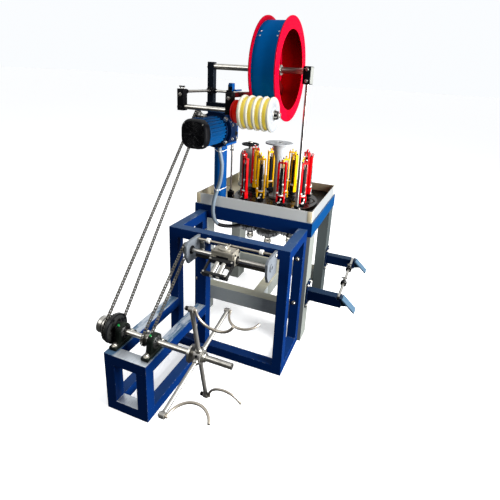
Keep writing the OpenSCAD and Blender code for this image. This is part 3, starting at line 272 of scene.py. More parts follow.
# turned, ground or drawn steel with streaks along one direction
def steelFinish(name, colour, rough, streak, stain, edgeRadius=0.0008, metal=1.0, tint=None):
    f = Finish(name)
    lines = f.noise(9.0, 5.0, 0.65, f.stretch(streak))
    cloud = f.noise(14.0, 4.0, 0.6)
    base = f.mix(lines, shade(colour, 0.8), shade(colour, 1.15))
    base = f.mix(cloud.above(0.56, 0.1) * stain, base, shade(colour, 0.45))
    if tint:
        base = f.mix(f.within(tint[0]), base, tint[1])
    return f.set(Base_Color=base, Metallic=metal, Roughness=rough + lines * 0.12 + cloud * 0.1,
                 Normal=f.bump(lines, 0.08, 0.0004, edgeRadius))


# oily dark iron with grease in patches
def ironFinish(name, colour, grease, metal):
    f = Finish(name)
    grain = f.noise(260.0, 4.0, 0.6)
    patch = f.noise(22.0, 5.0, 0.65)
    wet = patch.above(0.54, 0.06)
    base = f.mix(grain, shade(colour, 0.7), shade(colour, 1.5))
    bright = (f.edge(0.0012) * 3.0).above(0.5, 0.3) * (1 - wet) * 0.7
    base = f.mix(wet, base, grease)
    base = f.mix(bright, base, (0.5, 0.49, 0.47))
    return f.set(Base_Color=base, Metallic=metal, Roughness=0.52 - wet * 0.28,
                 Normal=f.bump(grain, 0.25, 0.0006, 0.0012))


# moulded plastic or rubber
def mouldedFinish(name, colour, rough, grainScale=600.0, depth=0.15, fade=1.5):
    f = Finish(name)
    grain = f.noise(grainScale, 3.0)
    tone = f.noise(12.0, 4.0, 0.6)
    base = f.mix(tone, shade(colour, 0.75), shade(colour, fade))
    return f.set(Base_Color=base, Roughness=rough + tone * 0.15, IOR=1.25,
                 Normal=f.bump(grain, depth, 0.0004, 0.001))


# paints: colour, roughness, wear, bare metal, edge radius, dust and painted sheen on top, then what only some
# of them have
navy = (0.0008, 0.0165, 0.092)
navyPaint = paintFinish("navyPaint", navy, 0.34, 0.5, (0.3, 0.36, 0.42), 0.004, 0.25, slateDustAndSheen,
                        tints=[({"X": (0.2422, far)}, (0.0009, 0.042, 0.137))])  # right-hand apron painted lighter blue, a painted highlight where the key light falls
gatePaint = paintFinish("gatePaint", navy, 0.34, 0.6, (0.34, 0.4, 0.46), 0.004, 0.2, slateDustAndSheen,
                        {"frontY": -far, "leftX": far, "streak": (1.0, 1.0, 1.0), "patch": 0.66, "over": 0.5},
                        dustAndSheenFrom=0.15)
winderPaint = paintFinish("winderPaint", navy, 0.34, 0.6, (0.62, 0.66, 0.7), 0.004, 0.5, slateDustAndSheen,
                          {"frontY": -0.572, "leftX": -0.376, "streak": (3.0, 0.6, 3.0), "patch": 0.53,
                           "over": 0.2}, dustAndSheenFrom=0.15)
legLightAndShadeTints = [({"X": (-0.388, 0.175), "Y": (-far, 0.35)}, (0.34, 0.37, 0.37)),  # front stretcher painted lighter, a painted highlight where it sits in shade
            ({"X": (0.17, far), "Y": (0.6, far)}, (0.05, 0.06, 0.061))]  # rear right leg painted darker, painted shade of the table
legPaint = paintFinish("legPaint", (0.18, 0.192, 0.178), 0.42, 0.3, (0.5, 0.5, 0.48), 0.004, 0.75,
                       (0.36, 0.34, 0.25), tints=legLightAndShadeTints)
bluePaint = paintFinish("bluePaint", (0.0008, 0.05, 0.2), 0.32, 0.4, (0.4, 0.42, 0.46), 0.003, 0.1)
motorPaint = paintFinish("motorPaint", (0.0006, 0.045, 0.15), 0.36, 0.3, (0.2, 0.26, 0.34), 0.002, 0.02,
                         slateDustAndSheen, tints=[({"Y": (0.117, far)}, (0.0006, 0.008, 0.034))])  # gearbox and motor flange painted darker navy, painted shade
payoffPaint = paintFinish("payoffPaint", (0.0004, 0.0055, 0.026), 0.34, 0.5, (0.3, 0.36, 0.42), 0.004, 0.08,
                          slateDustAndSheen, tints=[({"X": (0.4375, far)}, (0.045, 0.085, 0.13))])  # sloping pads painted pale blue, a painted highlight of the key light
redPaint = paintFinish("redPaint", (0.56, 0.001, 0.004), 0.3, 0.3, (0.35, 0.2, 0.2), 0.0012, 0.03)
yellowPaint = paintFinish("yellowPaint", (0.92, 0.47, 0.001), 0.3, 0.3, (0.4, 0.36, 0.25), 0.0012, 0.03)
# inside faces of the drum shell are painted dark red, painted shade inside the drum
drumInsideShade = {"centre": (0.0, 0.237642, 1.484), "along": "X", "colour": (0.3, 0.0008, 0.001)}
drumRed = paintFinish("drumRed", (0.42, 0.0006, 0.014), 0.3, 0.3, (0.5, 0.2, 0.2), 0.002, 0.02,
                      inner=drumInsideShade, gloss=1.03)
# darker copy of the drum red for the drum's spider and webs, painted shade inside the drum; the roller
# bracket's flat arm uses it too
darkRed = paintFinish("darkRed", (0.06, 0.0006, 0.001), 0.4, 0.2, (0.2, 0.1, 0.1), 0.002, 0.02)
blackPaint = paintFinish("blackPaint", (0.0045, 0.0047, 0.006), 0.36, 0.45, (0.3, 0.3, 0.31), 0.002, 0.04)
postPaint = paintFinish("postPaint", (0.004, 0.007, 0.013), 0.34, 0.5, (0.2, 0.24, 0.28), 0.003, 0.1,
                        (0.02, 0.08, 0.18))
blockPaint = paintFinish("blockPaint", (0.006, 0.0085, 0.007), 0.34, 0.5, (0.2, 0.21, 0.2), 0.002, 0.12,
                         (0.09, 0.1, 0.08))
greyPaint = paintFinish("greyPaint", (0.2, 0.205, 0.19), 0.4, 0.4, (0.5, 0.5, 0.48), 0.003, 0.1)

# metals: colour, roughness, streak scale, stain, edge radius, metalness
brightSteel = steelFinish("brightSteel", (0.56, 0.54, 0.49), 0.2, (3.0, 60.0, 60.0), 0.35)
reelSteel = steelFinish("reelSteel", (0.3, 0.29, 0.27), 0.36, (20.0, 20.0, 20.0), 0.3, 0.0008, 0.75)
turnedSteel = steelFinish("turnedSteel", (0.4, 0.39, 0.37), 0.28, (60.0, 8.0, 8.0), 0.35)
paleAlloy = steelFinish("paleAlloy", (0.37, 0.345, 0.285), 0.38, (20.0, 20.0, 20.0), 0.35, 0.0015, 0.4)
plateAlloy = steelFinish("plateAlloy", (0.17, 0.19, 0.215), 0.42, (14.0, 14.0, 14.0), 0.3, 0.002, 0.25)
darkRod = steelFinish("darkRod", (0.1, 0.095, 0.085), 0.24, (3.0, 60.0, 60.0), 0.3,
                      tint=({"Z": (0.664, far)}, (0.42, 0.38, 0.31)))  # collar rod, over the guide bar
hookSteel = steelFinish("hookSteel", (0.45, 0.4, 0.33), 0.26, (20.0, 20.0, 20.0), 0.3, 0.0008, 0.8)
chainSteel = steelFinish("chainSteel", (0.17, 0.16, 0.14), 0.32, (30.0, 30.0, 30.0), 0.5, 0.0004)
greasyIron = ironFinish("greasyIron", (0.22, 0.225, 0.23), (0.016, 0.015, 0.014), 0.65)
clutchIron = ironFinish("clutchIron", (0.022, 0.023, 0.022), (0.006, 0.006, 0.006), 0.5)

# plastics: colour, roughness, grain scale, grain depth, fading
blackPlastic = mouldedFinish("blackPlastic", (0.006, 0.006, 0.007), 0.38)
bobbinBlack = mouldedFinish("bobbinBlack", (0.004, 0.004, 0.005), 0.5, 900.0, 0.3, 2.0)
beltRubber = mouldedFinish("beltRubber", (0.012, 0.012, 0.012), 0.6, 900.0, 0.4)
whiteCeramic = mouldedFinish("whiteCeramic", (0.8, 0.79, 0.75), 0.2, 200.0, 0.03, 1.1)
whiteTie = mouldedFinish("whiteTie", (0.78, 0.79, 0.8), 0.4, 400.0, 0.05, 1.1)
creamCap = mouldedFinish("creamCap", (0.7, 0.6, 0.4), 0.45, 300.0, 0.1, 1.15)
conduitGrey = mouldedFinish("conduitGrey", (0.14, 0.175, 0.21), 0.36, 500.0, 0.08, 1.3)
castGrey = mouldedFinish("castGrey", (0.3, 0.31, 0.32), 0.42, 350.0, 0.2, 1.3)
nippleGreen = mouldedFinish("nippleGreen", (0.004, 0.16, 0.03), 0.4, 300.0, 0.05)
print("plain finishes made")

# sheet tray: pale outside, beige inside on the left, brown with oil on the right and at the back
trayTones = {
    "centre": (-0.107, 0.486, 0.765),
    "out": ((0.52, 0.535, 0.525), (0.62, 0.63, 0.615)),
    # the right-hand outer wall is painted dark grey, a painted shade that holds down the key light on it
    "side": ({"X": (0.2342, far)}, (0.15, 0.16, 0.168)),
    "in": (0.55, 0.5, 0.36),
    "grime": (0.16, 0.125, 0.08),
    "oil": (0.012, 0.01, 0.008),
    "worn": (0.75, 0.72, 0.6),
    "split": -0.13,
    "floor": 0.739,
}


def trayFinish(name, s):
    f = Finish(name)
    drift = f.noise(4.0, 4.0, 0.6)
    blot = f.noise(11.0, 6.0, 0.7)
    fine = f.noise(350.0, 2.0)
    inside = f.facing(s["centre"])
    dirty = (f.axis("X") * 2.2 + f.axis("Y") * 0.8 + blot * 0.5).above(s["split"] * 2.2 + 0.75, 0.25)
    oil = (f.axis("Z").below(s["floor"] + 0.006, 0.012) + blot * 0.9).above(1.12, 0.25) * dirty
    base = f.mix(drift, *s["out"])
    base = f.mix(f.within(s["side"][0]), base, s["side"][1])
    lined = f.mix(dirty * (0.7 + drift * 0.4), s["in"], s["grime"])
    lined = f.mix(oil, lined, s["oil"])
    base = f.mix(inside, base, lined)
    worn = (f.edge(0.0015) * 3.0).above(0.5, 0.3) * blot.above(0.5, 0.1) * 0.5
    base = f.mix(worn, base, s["worn"])
    return f.set(Base_Color=base, Roughness=0.45 - oil * inside * 0.22 + drift * 0.1, IOR=1.2,
                 Normal=f.bump(fine, 0.06, 0.0004, 0.0015))


# head plate: dark with oil
trackTones = {"dark": (0.06, 0.057, 0.05), "light": (0.13, 0.125, 0.11), "oil": (0.006, 0.005, 0.004)}


def trackFinish(name, s):
    f = Finish(name)
    blot = f.noise(16.0, 6.0, 0.7)
    fine = f.noise(300.0, 3.0)
    oil = blot.above(0.42, 0.1)
    base = f.mix(fine, s["dark"], s["light"])
    base = f.mix(oil * 0.9, base, s["oil"])
    return f.set(Base_Color=base, Metallic=0.7, Roughness=0.5 - oil * 0.25,
                 Normal=f.bump(fine, 0.12, 0.0005, 0.001))


# woven drive belting glued round the drum
lining = {"dark": (0.0003, 0.085, 0.29), "light": (0.0006, 0.12, 0.4), "rubbed": (0.02, 0.14, 0.36),
          "threads": 260.0}


def liningFinish(name, s):
    f = Finish(name)
    across, along = [f.add("ShaderNodeTexWave", {"bands_direction": letter},
                           {"Vector": f.spot(), "Scale": s["threads"], "Distortion": 0.6}) for letter in "XZ"]
    tone = f.noise(7.0, 5.0, 0.6)
    rub = f.noise(30.0, 5.0, 0.7, f.stretch((0.4, 3.0, 3.0)))
    base = f.mix(tone, s["dark"], s["light"])
    base = f.mix(rub.above(0.62, 0.08) * 0.3, base, s["rubbed"])
    return f.set(Base_Color=base, Roughness=0.62 + tone * 0.1, IOR=1.04,
                 Normal=f.bump(across * along, 0.35, 0.0005))


# turned nylon, yellowed at the bottom of each groove and painted brighter there with a painted glow, and
# painted grey on its right end as painted shade
nylon = {
    "axisY": -0.036358, "axisZ": 1.29, "grooveRadius": 0.067, "soft": 0.005,
    "endX": 0.0655, "endRadius": 0.076,
    "dark": (0.66, 0.64, 0.5), "light": (0.78, 0.76, 0.62), "end": (0.25, 0.26, 0.275),
    "groove": (1.0, 0.84, 0.16), "paintedGlow": (1.0, 0.78, 0.1),
}


def nylonFinish(name, s):
    f = Finish(name)
    dy = f.axis("Y") - s["axisY"]
    dz = f.axis("Z") - s["axisZ"]
    reach = (dy * dy + dz * dz) ** 0.5
    deep = reach.below(s["grooveRadius"], s["soft"])
    turned = f.noise(120.0, 3.0, 0.5, f.stretch((4.0, 0.3, 0.3)))
    end = f.axis("X").above(s["endX"], 0.002)
    groove = deep * (1 - end)
    base = f.mix(turned, s["dark"], s["light"])
    base = f.mix(groove, base, s["groove"])
    # the right end face is painted grey, painted shade that keeps the lit end from going white
    base = f.mix(end * reach.below(s["endRadius"], 0.002), base, s["end"])
    # the grooves glow through the emission, a painted glow
    return f.set(Base_Color=base, Roughness=0.34 + turned * 0.1,
                 Subsurface_Weight=0.12, Subsurface_Radius=(0.004, 0.003, 0.002),
                 Emission_Color=f.mix(groove, (0.0, 0.0, 0.0), s["paintedGlow"]), Emission_Strength=0.26,
                 Normal=f.bump(turned, 0.08, 0.0005, 0.002))


# cast carriage body, with a black fork in front of it
carriageTones = {"forkY": -0.2424, "dark": (0.31, 0.285, 0.23), "light": (0.43, 0.4, 0.33),
                 "stain": (0.2, 0.185, 0.16), "fork": (0.02, 0.02, 0.02)}


def carriageFinish(name, s):
    f = Finish(name)
    lines = f.noise(9.0, 5.0, 0.65, f.stretch((20.0, 20.0, 20.0)))
    cloud = f.noise(18.0, 4.0, 0.6)
    fork = f.axis("Y").below(s["forkY"], 0.0006)
    base = f.mix(lines, s["dark"], s["light"])
    base = f.mix(cloud.above(0.54, 0.1) * 0.4, base, s["stain"])
    base = f.mix(fork, base, s["fork"])
    return f.set(Base_Color=base, Metallic=0.4 + fork * 0.2, Roughness=0.4 + lines * 0.12 + cloud * 0.1,
                 Normal=f.bump(lines, 0.08, 0.0004, 0.0012))


nodeFinish = {
    navyPaint: ["table_frame"],
    payoffPaint: ["payoff_arms"],
    gatePaint: ["gate_frame"],
    winderPaint: ["winder_frame"],
    legPaint: ["table_legs"],
    trayFinish("trayPaint", trayTones): ["drip_tray"],
    trackFinish("trackSteel", trackTones): ["track_plate"],
    greasyIron: ["bed_plate"] + ["horn_gear_%d" % k for k in range(1, 9)],
    castGrey: ["core_tube"],
    turnedSteel: ["motor_pulley", "drive_sprocket", "reverse_lever"],
    redPaint: ["red_carriers", "roller_disc"],
    yellowPaint: ["yellow_carriers"],
    bobbinBlack: ["bobbins"],
    brightSteel: ["frame_bolts", "drum_axle", "roller_shaft", "winder_shaft",
                  "traverse_shaft", "guide_roller_1", "guide_roller_2", "payoff_rod"],
    reelSteel: ["reel_arms"],
    bluePaint: ["column"],
    motorPaint: ["worm_gearbox", "haul_motor"],
    blackPaint: ["motor_fan_cover", "axle_stand", "roller_bracket", "pillow_blocks", "stop_rod", "handwheel"],
    chainSteel: ["winder_chain", "traverse_chain"],
    plateAlloy: ["traverse_plates"],
    darkRod: ["traverse_rails"],
    hookSteel: ["reel_hook_1", "reel_hook_2", "reel_hook_3", "reel_hook_4"],
    carriageFinish("carriageAlloy", carriageTones): ["traverse_carriage"],
    postPaint: ["drum_post"],
    greyPaint: ["main_motor"],
    beltRubber: ["drive_belt"],
    conduitGrey: ["motor_conduit"],
    drumRed: ["drum_rim"],
    liningFinish("liningBlue", lining): ["drum_lining"],
    darkRed: ["drum_spider"],
    clutchIron: ["slip_clutch"],
}
nylonCream = nylonFinish("nylonCream", nylon)
nodeFinish[nylonCream] = ["grooved_roller"]
for finish, names in nodeFinish.items():
    for name in names:
        for slot in nodes[name].material_slots:
            slot.material = finish
print("finishes on", sum(len(n) for n in nodeFinish.values()), "nodes")


# shares of a bolt head's radius and height
boltHead = {"bore": 0.4, "washer": 0.22, "seat": 0.2, "chamfer": 0.82, "top": 0.86}


# a mesh piece is drawn in millimetres from the point "at" of the drawing
class Piece:
    def __init__(self, name, at=(0, 0, 0)):
        self.name = name
        self.at = Vector(at)
        self.finishes = []
        self.bm = bmesh.new()

    def take(self, part, finish, place=None):
        if place is not None:
            bmesh.ops.transform(part, matrix=place, verts=part.verts)
        if finish not in self.finishes:
            self.finishes.append(finish)
        for face in part.faces:
            face.material_index = self.finishes.index(finish)
        spare = bpy.data.meshes.new("spare")
        part.to_mesh(spare)
        part.free()
        self.bm.from_mesh(spare)
        bpy.data.meshes.remove(spare)

    def soften(self, part, bevel, segments=2):
        if bevel:
            bmesh.ops.bevel(part, geom=list(part.edges), offset=bevel, segments=segments, profile=0.5,
                            affect="EDGES")

    def box(self, lo, hi, finish, bevel=1.0, place=None, segments=2):
        part = bmesh.new()
        bmesh.ops.create_cube(part, size=1.0)
        size = [h - l for l, h in zip(lo, hi)]
        middle = [(h + l) / 2 for l, h in zip(lo, hi)]
        bmesh.ops.scale(part, vec=size, verts=part.verts)
        bmesh.ops.translate(part, vec=middle, verts=part.verts)
        self.soften(part, bevel, segments)
        self.take(part, finish, place)

    def lathe(self, profile, finish, start=(0, 0, 0), along=toTop, steps=32, place=None):
        part = bmesh.new()
        unit = circle(360 * i / steps for i in range(steps))
        rings = []
        for r, h in profile:
            spots = unit if r > 1e-6 else unit[:1]  # one point on the axis closes an end
            rings.append([part.verts.new((r * u, r * v, h)) for u, v in spots])
        for low, high in zip(rings, rings[1:]):
            for i in range(steps):
                j = (i + 1) % steps
                corners = [low[i % len(low)], low[j % len(low)], high[j % len(high)], high[i % len(high)]]
                corners = list(dict.fromkeys(corners))
                if len(corners) > 2:
                    part.faces.new(corners)
        turn = Vector(along).to_track_quat("Z", "Y").to_matrix().to_4x4()
        whole = Matrix.Translation(start) @ turn
        self.take(part, finish, whole if place is None else place @ whole)

    def rod(self, a, b, r, finish, bevel=0.6, steps=24, place=None):
        span = Vector(b) - Vector(a)
        n = span.length
        profile = [(0, 0), (r - bevel, 0), (r, bevel), (r, n - bevel), (r - bevel, n), (0, n)]
        self.lathe(profile, finish, a, span, steps, place)

    def ring(self, r, hole, h, finish, start, along, steps=32, bevel=0.6, place=None):
        profile = [(hole, 0), (r - bevel, 0), (r, bevel), (r, h - bevel), (r - bevel, h), (hole, h)]
        self.lathe(profile + profile[:1], finish, start, along, steps, place)

    def hexHead(self, start, along, r, h, finish, washer=0.0, place=None):
        s = boltHead
        seat = Vector(start)
        if washer:
            self.ring(washer, r * s["bore"], h * s["washer"], finish, start, along, 24, 0.3, place)
            seat += Vector(along).normalized() * h * s["seat"]
        profile = [(0, 0), (r, 0), (r, h * s["chamfer"]), (r * s["top"], h), (0, h)]
        self.lathe(profile, finish, seat, along, 6, place)

    def boltCircle(self, centre, along, reach, angles, r, h, finish, washer=0.0):
        for spot in circle(angles):
            across = iter(spot)
            shift = [0.0 if a else reach * next(across) for a in along]
            self.hexHead(Vector(centre) + Vector(shift), along, r, h, finish, washer)

    def prism(self, outline, lo, hi, finish, bevel=0.0, place=None):  # outline in local X Y, raised along Z
        part = bmesh.new()
        face = part.faces.new([part.verts.new((x, y, lo)) for x, y in outline])
        raised = bmesh.ops.extrude_face_region(part, geom=[face])
        lifted = [v for v in raised["geom"] if isinstance(v, bmesh.types.BMVert)]
        bmesh.ops.translate(part, vec=(0, 0, hi - lo), verts=lifted)
        bmesh.ops.recalc_face_normals(part, faces=list(part.faces))
        self.soften(part, bevel)
        self.take(part, finish, place)

    def skin(self, rings, finish, closed=False):  # rings of points joined in order, capped unless closed
        part = bmesh.new()
        rows = [[part.verts.new(p) for p in ring] for ring in rings]
        for low, high in zip(rows, rows[1:] + (rows[:1] if closed else [])):
            for i in range(len(low)):
                j = (i + 1) % len(low)
                part.faces.new((low[i], low[j], high[j], high[i]))
        if not closed:
            part.faces.new(list(reversed(rows[0])))
            part.faces.new(rows[-1])
        self.take(part, finish)

    def sweep(self, path, radii, finish, steps=12, closed=False):
        path = [Vector(p) for p in path]
        count = len(path)
        if not isinstance(radii, list):
            radii = [radii] * count
        rings = []
        side = None
        for i, p in enumerate(path):
            ahead = path[(i + 1) % count] if closed or i + 1 < count else p
            behind = path[i - 1] if closed or i else p
            d = (ahead - behind).normalized()
            if side is None:
                side = d.orthogonal().normalized()
            side = (side - d * side.dot(d)).normalized()
            other = d.cross(side)
            unit = circle(360 * k / steps for k in range(steps))
            rings.append([p + radii[i] * (u * side + v * other) for u, v in unit])
        self.skin(rings, finish, closed)

    def mesh(self, sharp=32.0):
        bmesh.ops.translate(self.bm, vec=self.at - originShift, verts=self.bm.verts)
        bmesh.ops.scale(self.bm, vec=(0.001, 0.001, 0.001), verts=self.bm.verts)
        limit = math.radians(sharp)
        for edge in self.bm.edges:
            edge.smooth = len(edge.link_faces) == 2 and edge.calc_face_angle(0.0) < limit
        for face in self.bm.faces:
            face.smooth = True
        mesh = bpy.data.meshes.new(self.name)
        self.bm.to_mesh(mesh)
        self.bm.free()
        for finish in self.finishes:
            mesh.materials.append(finish)
        return mesh

    def done(self, slot, body="machine", covers=(), sharp=32.0):
        settle(addObject(self.name, self.mesh(sharp)), slot, body, covers)


def settle(piece, slot, body="machine", covers=()):
    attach(piece, body)
    if covers:
        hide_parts(*covers)


# roller chains with real links
chains = {
    "winder_chain": {"plane": -352, "a": (31, 1225), "b": (-704, 348), "ra": 30, "rb": 58},
    "traverse_chain": {"plane": -172, "a": (-386, 640), "b": (-704, 348), "ra": 26, "rb": 30},
    "pitch": 12.7, "plateRadius": 5.3, "waist": 3.7, "inner": (3.55, 4.6), "outer": (4.7, 5.8),
    "pinRadius": 1.9, "pinReach": 6.2, "rollerRadius": 4.0, "rollerReach": 3.3, "clear": 14,
}


def chainPath(c, clear):  # round wheel a, along one run, round wheel b and back; True where no wheel is near
    a, b = Vector(c["a"]), Vector(c["b"])
    span = (b - a).length
    turn = math.atan2(b.y - a.y, b.x - a.x)
    lean = math.acos((c["ra"] - c["rb"]) / span)
    run = span * math.sin(lean)
    arcA, arcB = c["ra"] * (2 * math.pi - 2 * lean), c["rb"] * 2 * lean
    total = arcA + arcB + 2 * run

    def rim(end, t):
        return Vector(c[end]) + c["r" + end] * Vector((math.cos(t), math.sin(t)))

    def spotAt(s):
        s %= total
        if s < arcA:
            return rim("a", turn + lean + s / c["ra"]), False
        s -= arcA
        if s < run:
            return rim("a", turn - lean).lerp(rim("b", turn - lean), s / run), clear < s < run - clear
        s -= run
        if s < arcB:
            return rim("b", turn - lean + s / c["rb"]), False
        s -= arcB
        return rim("b", turn + lean).lerp(rim("a", turn + lean), s / run), clear < s < run - clear

    return spotAt, total


def linkOutline(length, r, waist):
    points = []
    for centre, start, middle in ((length, -75, waist), (0, 105, -waist)):
        points += [(centre + r * u, r * v) for u, v in circle(range(start, start + 151, 25))]
        points.append((length / 2, middle))
    return points


def makeChain(name, s):
    c = s[name]
    spotAt, total = chainPath(c, s["clear"])
    count = 2 * round(total / s["pitch"] / 2)
    step = total / count
    pin, reach, gap = s["pinRadius"], s["pinReach"], s["inner"][0]
    roller, wide = s["rollerRadius"], s["rollerReach"]
    piece = Piece("links_" + name)
    for i in range(count):
        p, free = spotAt(i * step)
        q, _ = spotAt((i + 1) * step)
        angle = math.atan2(q.y - p.y, q.x - p.x)
        place = upright(c["plane"], p.x, p.y) @ Matrix.Rotation(angle, 4, "Z")
        outline = linkOutline((q - p).length, s["plateRadius"], s["waist"])
        lo, hi = s["inner"] if i % 2 else s["outer"]
        piece.prism(outline, lo, hi, chainSteel, 0.0, place)
        piece.prism(outline, -hi, -lo, chainSteel, 0.0, place)
        spans = [(-reach, reach)] if free else [(-reach, -gap), (gap, reach)]  # teeth stand between stub pins
        for start, end in spans:
            piece.lathe([(0, start), (pin, start), (pin, end), (0, end)], chainSteel, steps=8, place=place)
        if free:
            sleeve = [(pin, -wide), (roller, -wide), (roller, wide), (pin, wide)]
            piece.lathe(sleeve, chainSteel, steps=10, place=place)
    piece.done("chain_steel", covers=[name])
    return count


print("chain links:", makeChain("winder_chain", chains), makeChain("traverse_chain", chains))

# braiding head: horn gears in a ring, and the bobbin carriers on their track
head = {"centre": (40, 300), "ringRadius": 171, "motorAt": (-229, 505), "driven": 4, "count": 8}


def hornAngle(k):  # the driven horn gear faces the head motor
    toMotor = Vector(head["motorAt"]) - Vector(head["centre"])
    return math.atan2(toMotor.y, toMotor.x) + (k - head["driven"]) * 2 * math.pi / head["count"]


def hornCentre(k):
    a = hornAngle(k)
    return Vector(head["centre"]) + head["ringRadius"] * Vector((math.cos(a), math.sin(a)))


carrier = {"phase": 18, "baseZ": 748.3, "height": 262, "width": 46, "depth": 34, "seat": 72, "topPlate": 8,
           "bobbin": 12, "bore": 3.4, "overBobbin": 26, "rodY": 9,
           "spring": {"r": 3.4, "turn": 0.8, "rise": 0.62, "count": 80}, "wire": 0.75}


def carrierMesh(name, paint, s):
    w, d, h = s["width"] / 2, s["depth"] / 2, s["height"]
    seat, top, bore = s["seat"], s["height"] - s["topPlate"], s["bore"]
    p = Piece(name, originShift)
    p.lathe([(0, 0), (bore, 0), (bore, 8), (d - 2, 8), (d, 10), (d, 22), (d - 2, 24), (0, 24)], blackPaint)
    p.box((-d, -w, 24), (d, w, 32), blackPaint, 2.0)
    for y in (-w, w - 6):  # lower bracket: two flanges, a back web and a bridge under the seat
        p.box((-11, y, 28), (12, y + 6, seat - 2), paint, 1.6)
    p.box((-11, -w + 5, 30), (-7, w - 5, seat - 4), blackPaint, 1.0)
    p.box((-11, -w, seat - 8), (12, w, seat - 2), paint, 1.6)
    p.lathe([(5, seat - 2), (14, seat - 2), (17, seat), (17.5, seat + 3), (16, seat + 6), (12, seat + 6.5),
             (10, seat + 4), (5, seat + 4)], whiteCeramic, steps=28)
    p.box((-9, -w - 2, seat - 4), (9, -w + 9, top + 2), paint, 1.6)  # wide flat bar and a narrow one
    p.box((-7, w - 7.5, seat - 3), (7, w, top + 1), paint, 1.3)
    p.box((-9, -w, top), (9, w, h), paint, 1.8)
    p.box((-12, -w - 1, top - 8), (-2, -w + 8, top), paint, 1.2)
    p.rod((0, 0, seat), (0, 0, top), 3.2, brightSteel, 0.4, 12)
    r, end = s["bobbin"], top - s["overBobbin"]
    p.lathe([(bore, seat + 5), (r + 1.5, seat + 5), (r + 1.5, seat + 9), (r - 1, seat + 11),
             (r, seat + 30), (r + 0.3, seat + 90), (r - 1.2, end - 26), (r - 3.5, end - 8),
             (r - 3.5, end - 3), (r - 1.5, end - 2), (r - 1.5, end), (bore, end)], bobbinBlack, steps=22)
    x, y = d - 7, s["rodY"]  # compensator rod with its spring and sliding eyes
    p.rod((x, y, seat - 2), (x, y, top + 1), 1.9, brightSteel, 0.3, 10)
    p.sweep(coil(x, y, seat + 8, **s["spring"]), s["wire"], brightSteel, 5)
    p.ring(5.4, 2.0, 8, whiteCeramic, (x, y, seat + 62), toTop, 16, 1.6)
    p.ring(5.0, 2.0, 6, whiteCeramic, (d - 5, -w + 5, seat + 16), (1, 0, 0.3), 16, 1.5)
    brake = [(-9, 0), (3, 3), (11, 30), (6, 34), (-2, 14), (-11, 9)]  # brake lever
    p.prism(brake, 0, 2.6, whiteCeramic, 0.7, upright(d - 3, -2, 26))
    p.ring(4.2, 1.6, 5, blackPaint, (d - 4, 3, 44), toRight, 14, 0.8)
    p.rod((d - 6, -w + 3, 30), (d + 1, -w + 15, 30), 2.4, whiteCeramic, 0.8, 10)
    p.box((-3, -3, h), (3, 3, h + 17), paint, 0.8)  # thread eye over the top plate
    p.box((-3, -4, h + 12), (14, 4, h + 16), paint, 1.0)
    p.ring(5.0, 2.0, 5, whiteCeramic, (12, 0, h + 15), toTop, 16, 1.3)
    p.rod((2, -w + 4, h), (2, -w + 4, h + 9), 3.6, blackPlastic, 0.8, 12)
    p.rod((6, w - 7, h), (13, w - 3, h + 8), 2.6, paint, 0.8, 10)
    thread = [(x, y, seat + 70), (d - 3, -w + 5, seat + 19), (x - 1, 4, top - 20), (12, 0, h + 19)]
    p.sweep(thread, 0.5, bobbinBlack, 5)
    return p.mesh(34.0)


def makeCarriers(s):
    reach = head["ringRadius"] * math.sin(math.pi / head["count"])
    for colour, paint, half, covers in (("red", redPaint, 0, ["red_carriers", "bobbins"]),
                                        ("yellow", yellowPaint, 180, ["yellow_carriers"])):
        mesh = carrierMesh("carrier" + colour.title(), paint, s)
        for k in range(1, head["count"] + 1):
            turn = hornAngle(k) + math.radians((90 - s["phase"] if k % 2 else s["phase"]) + half)
            at = hornCentre(k) + reach * Vector((math.cos(turn), math.sin(turn)))
            piece = addObject("carrier_%s_%d" % (colour, k), mesh)
            place = Matrix.Translation(toScene((at.x, at.y, s["baseZ"])))
            piece.matrix_world = place @ Matrix.Rotation(hornAngle(k), 4, "Z")
            settle(piece, colour + "_paint", "machine", covers if k == 1 else ())


makeCarriers(carrier)
print("carriers made")

# bearing blocks of the winder shaft
bearing = {"at": (0, -704, 292), "xs": (-295, -131), "rise": 56, "ring": 36, "half": 17, "shaft": 12.7,
           "footHalf": 70, "footWide": 19, "footTall": 16, "boltAt": 53, "insertAt": 13}


def makeBearings(s):
    p = Piece("bearingBlocks", s["at"])
    rise, wide, deep, tall = s["rise"], s["footWide"], s["footHalf"], s["footTall"]
    arch = [(s["ring"] * u, rise + s["ring"] * v) for u, v in circle(range(-8, 189, 14))]
    outline = [(-44, 13), (44, 13)] + arch
    insert = [(29, 0), (29, 4), (26, 6), (24, 4.5), (23, 4.5), (22, 9), (s["shaft"], 9), (s["shaft"], 0)]
    for x in s["xs"]:
        p.box((x - wide, -deep, 0), (x + wide, deep, tall), blockPaint, 3.5)
        p.prism(outline, -s["half"] + 3, s["half"] - 3, blockPaint, 2.5, upright(x, 0, 0))
        for side in (-1, 1):
            p.lathe(insert, clutchIron, (x + side * s["insertAt"], 0, rise), (side, 0, 0), 40)
            p.hexHead((x, side * s["boltAt"], tall), toTop, 10, 9, brightSteel, 14)
        p.rod((x + 18, 8, rise + 16), (x + 21, 8, rise + 16), 2.5, blackPlastic, 0.4, 10)
        p.rod((x, -18, rise + 31), (x, -22, rise + 38), 4, brightSteel, 0.5, 12)  # grease nipple
        p.rod((x, -22, rise + 38), (x, -26, rise + 46), 5, nippleGreen, 1.5, 12)
    p.done("black_paint", covers=["pillow_blocks"])


makeBearings(bearing)
print("bearings made")

# haul-off motor: fan cover, flange bolts, corner ribs and end rings
haulMotor = {"x": -203, "z": 1170, "face": -35, "front": -266, "cover": 36, "coverHalf": 71,
             "squareness": 3.4, "cornerLimit": 1.12, "grille": 3, "grilleRings": range(12, 58, 7),
             "screwAt": 50, "flangeBolt": 83, "ribAt": 62, "body": 72}


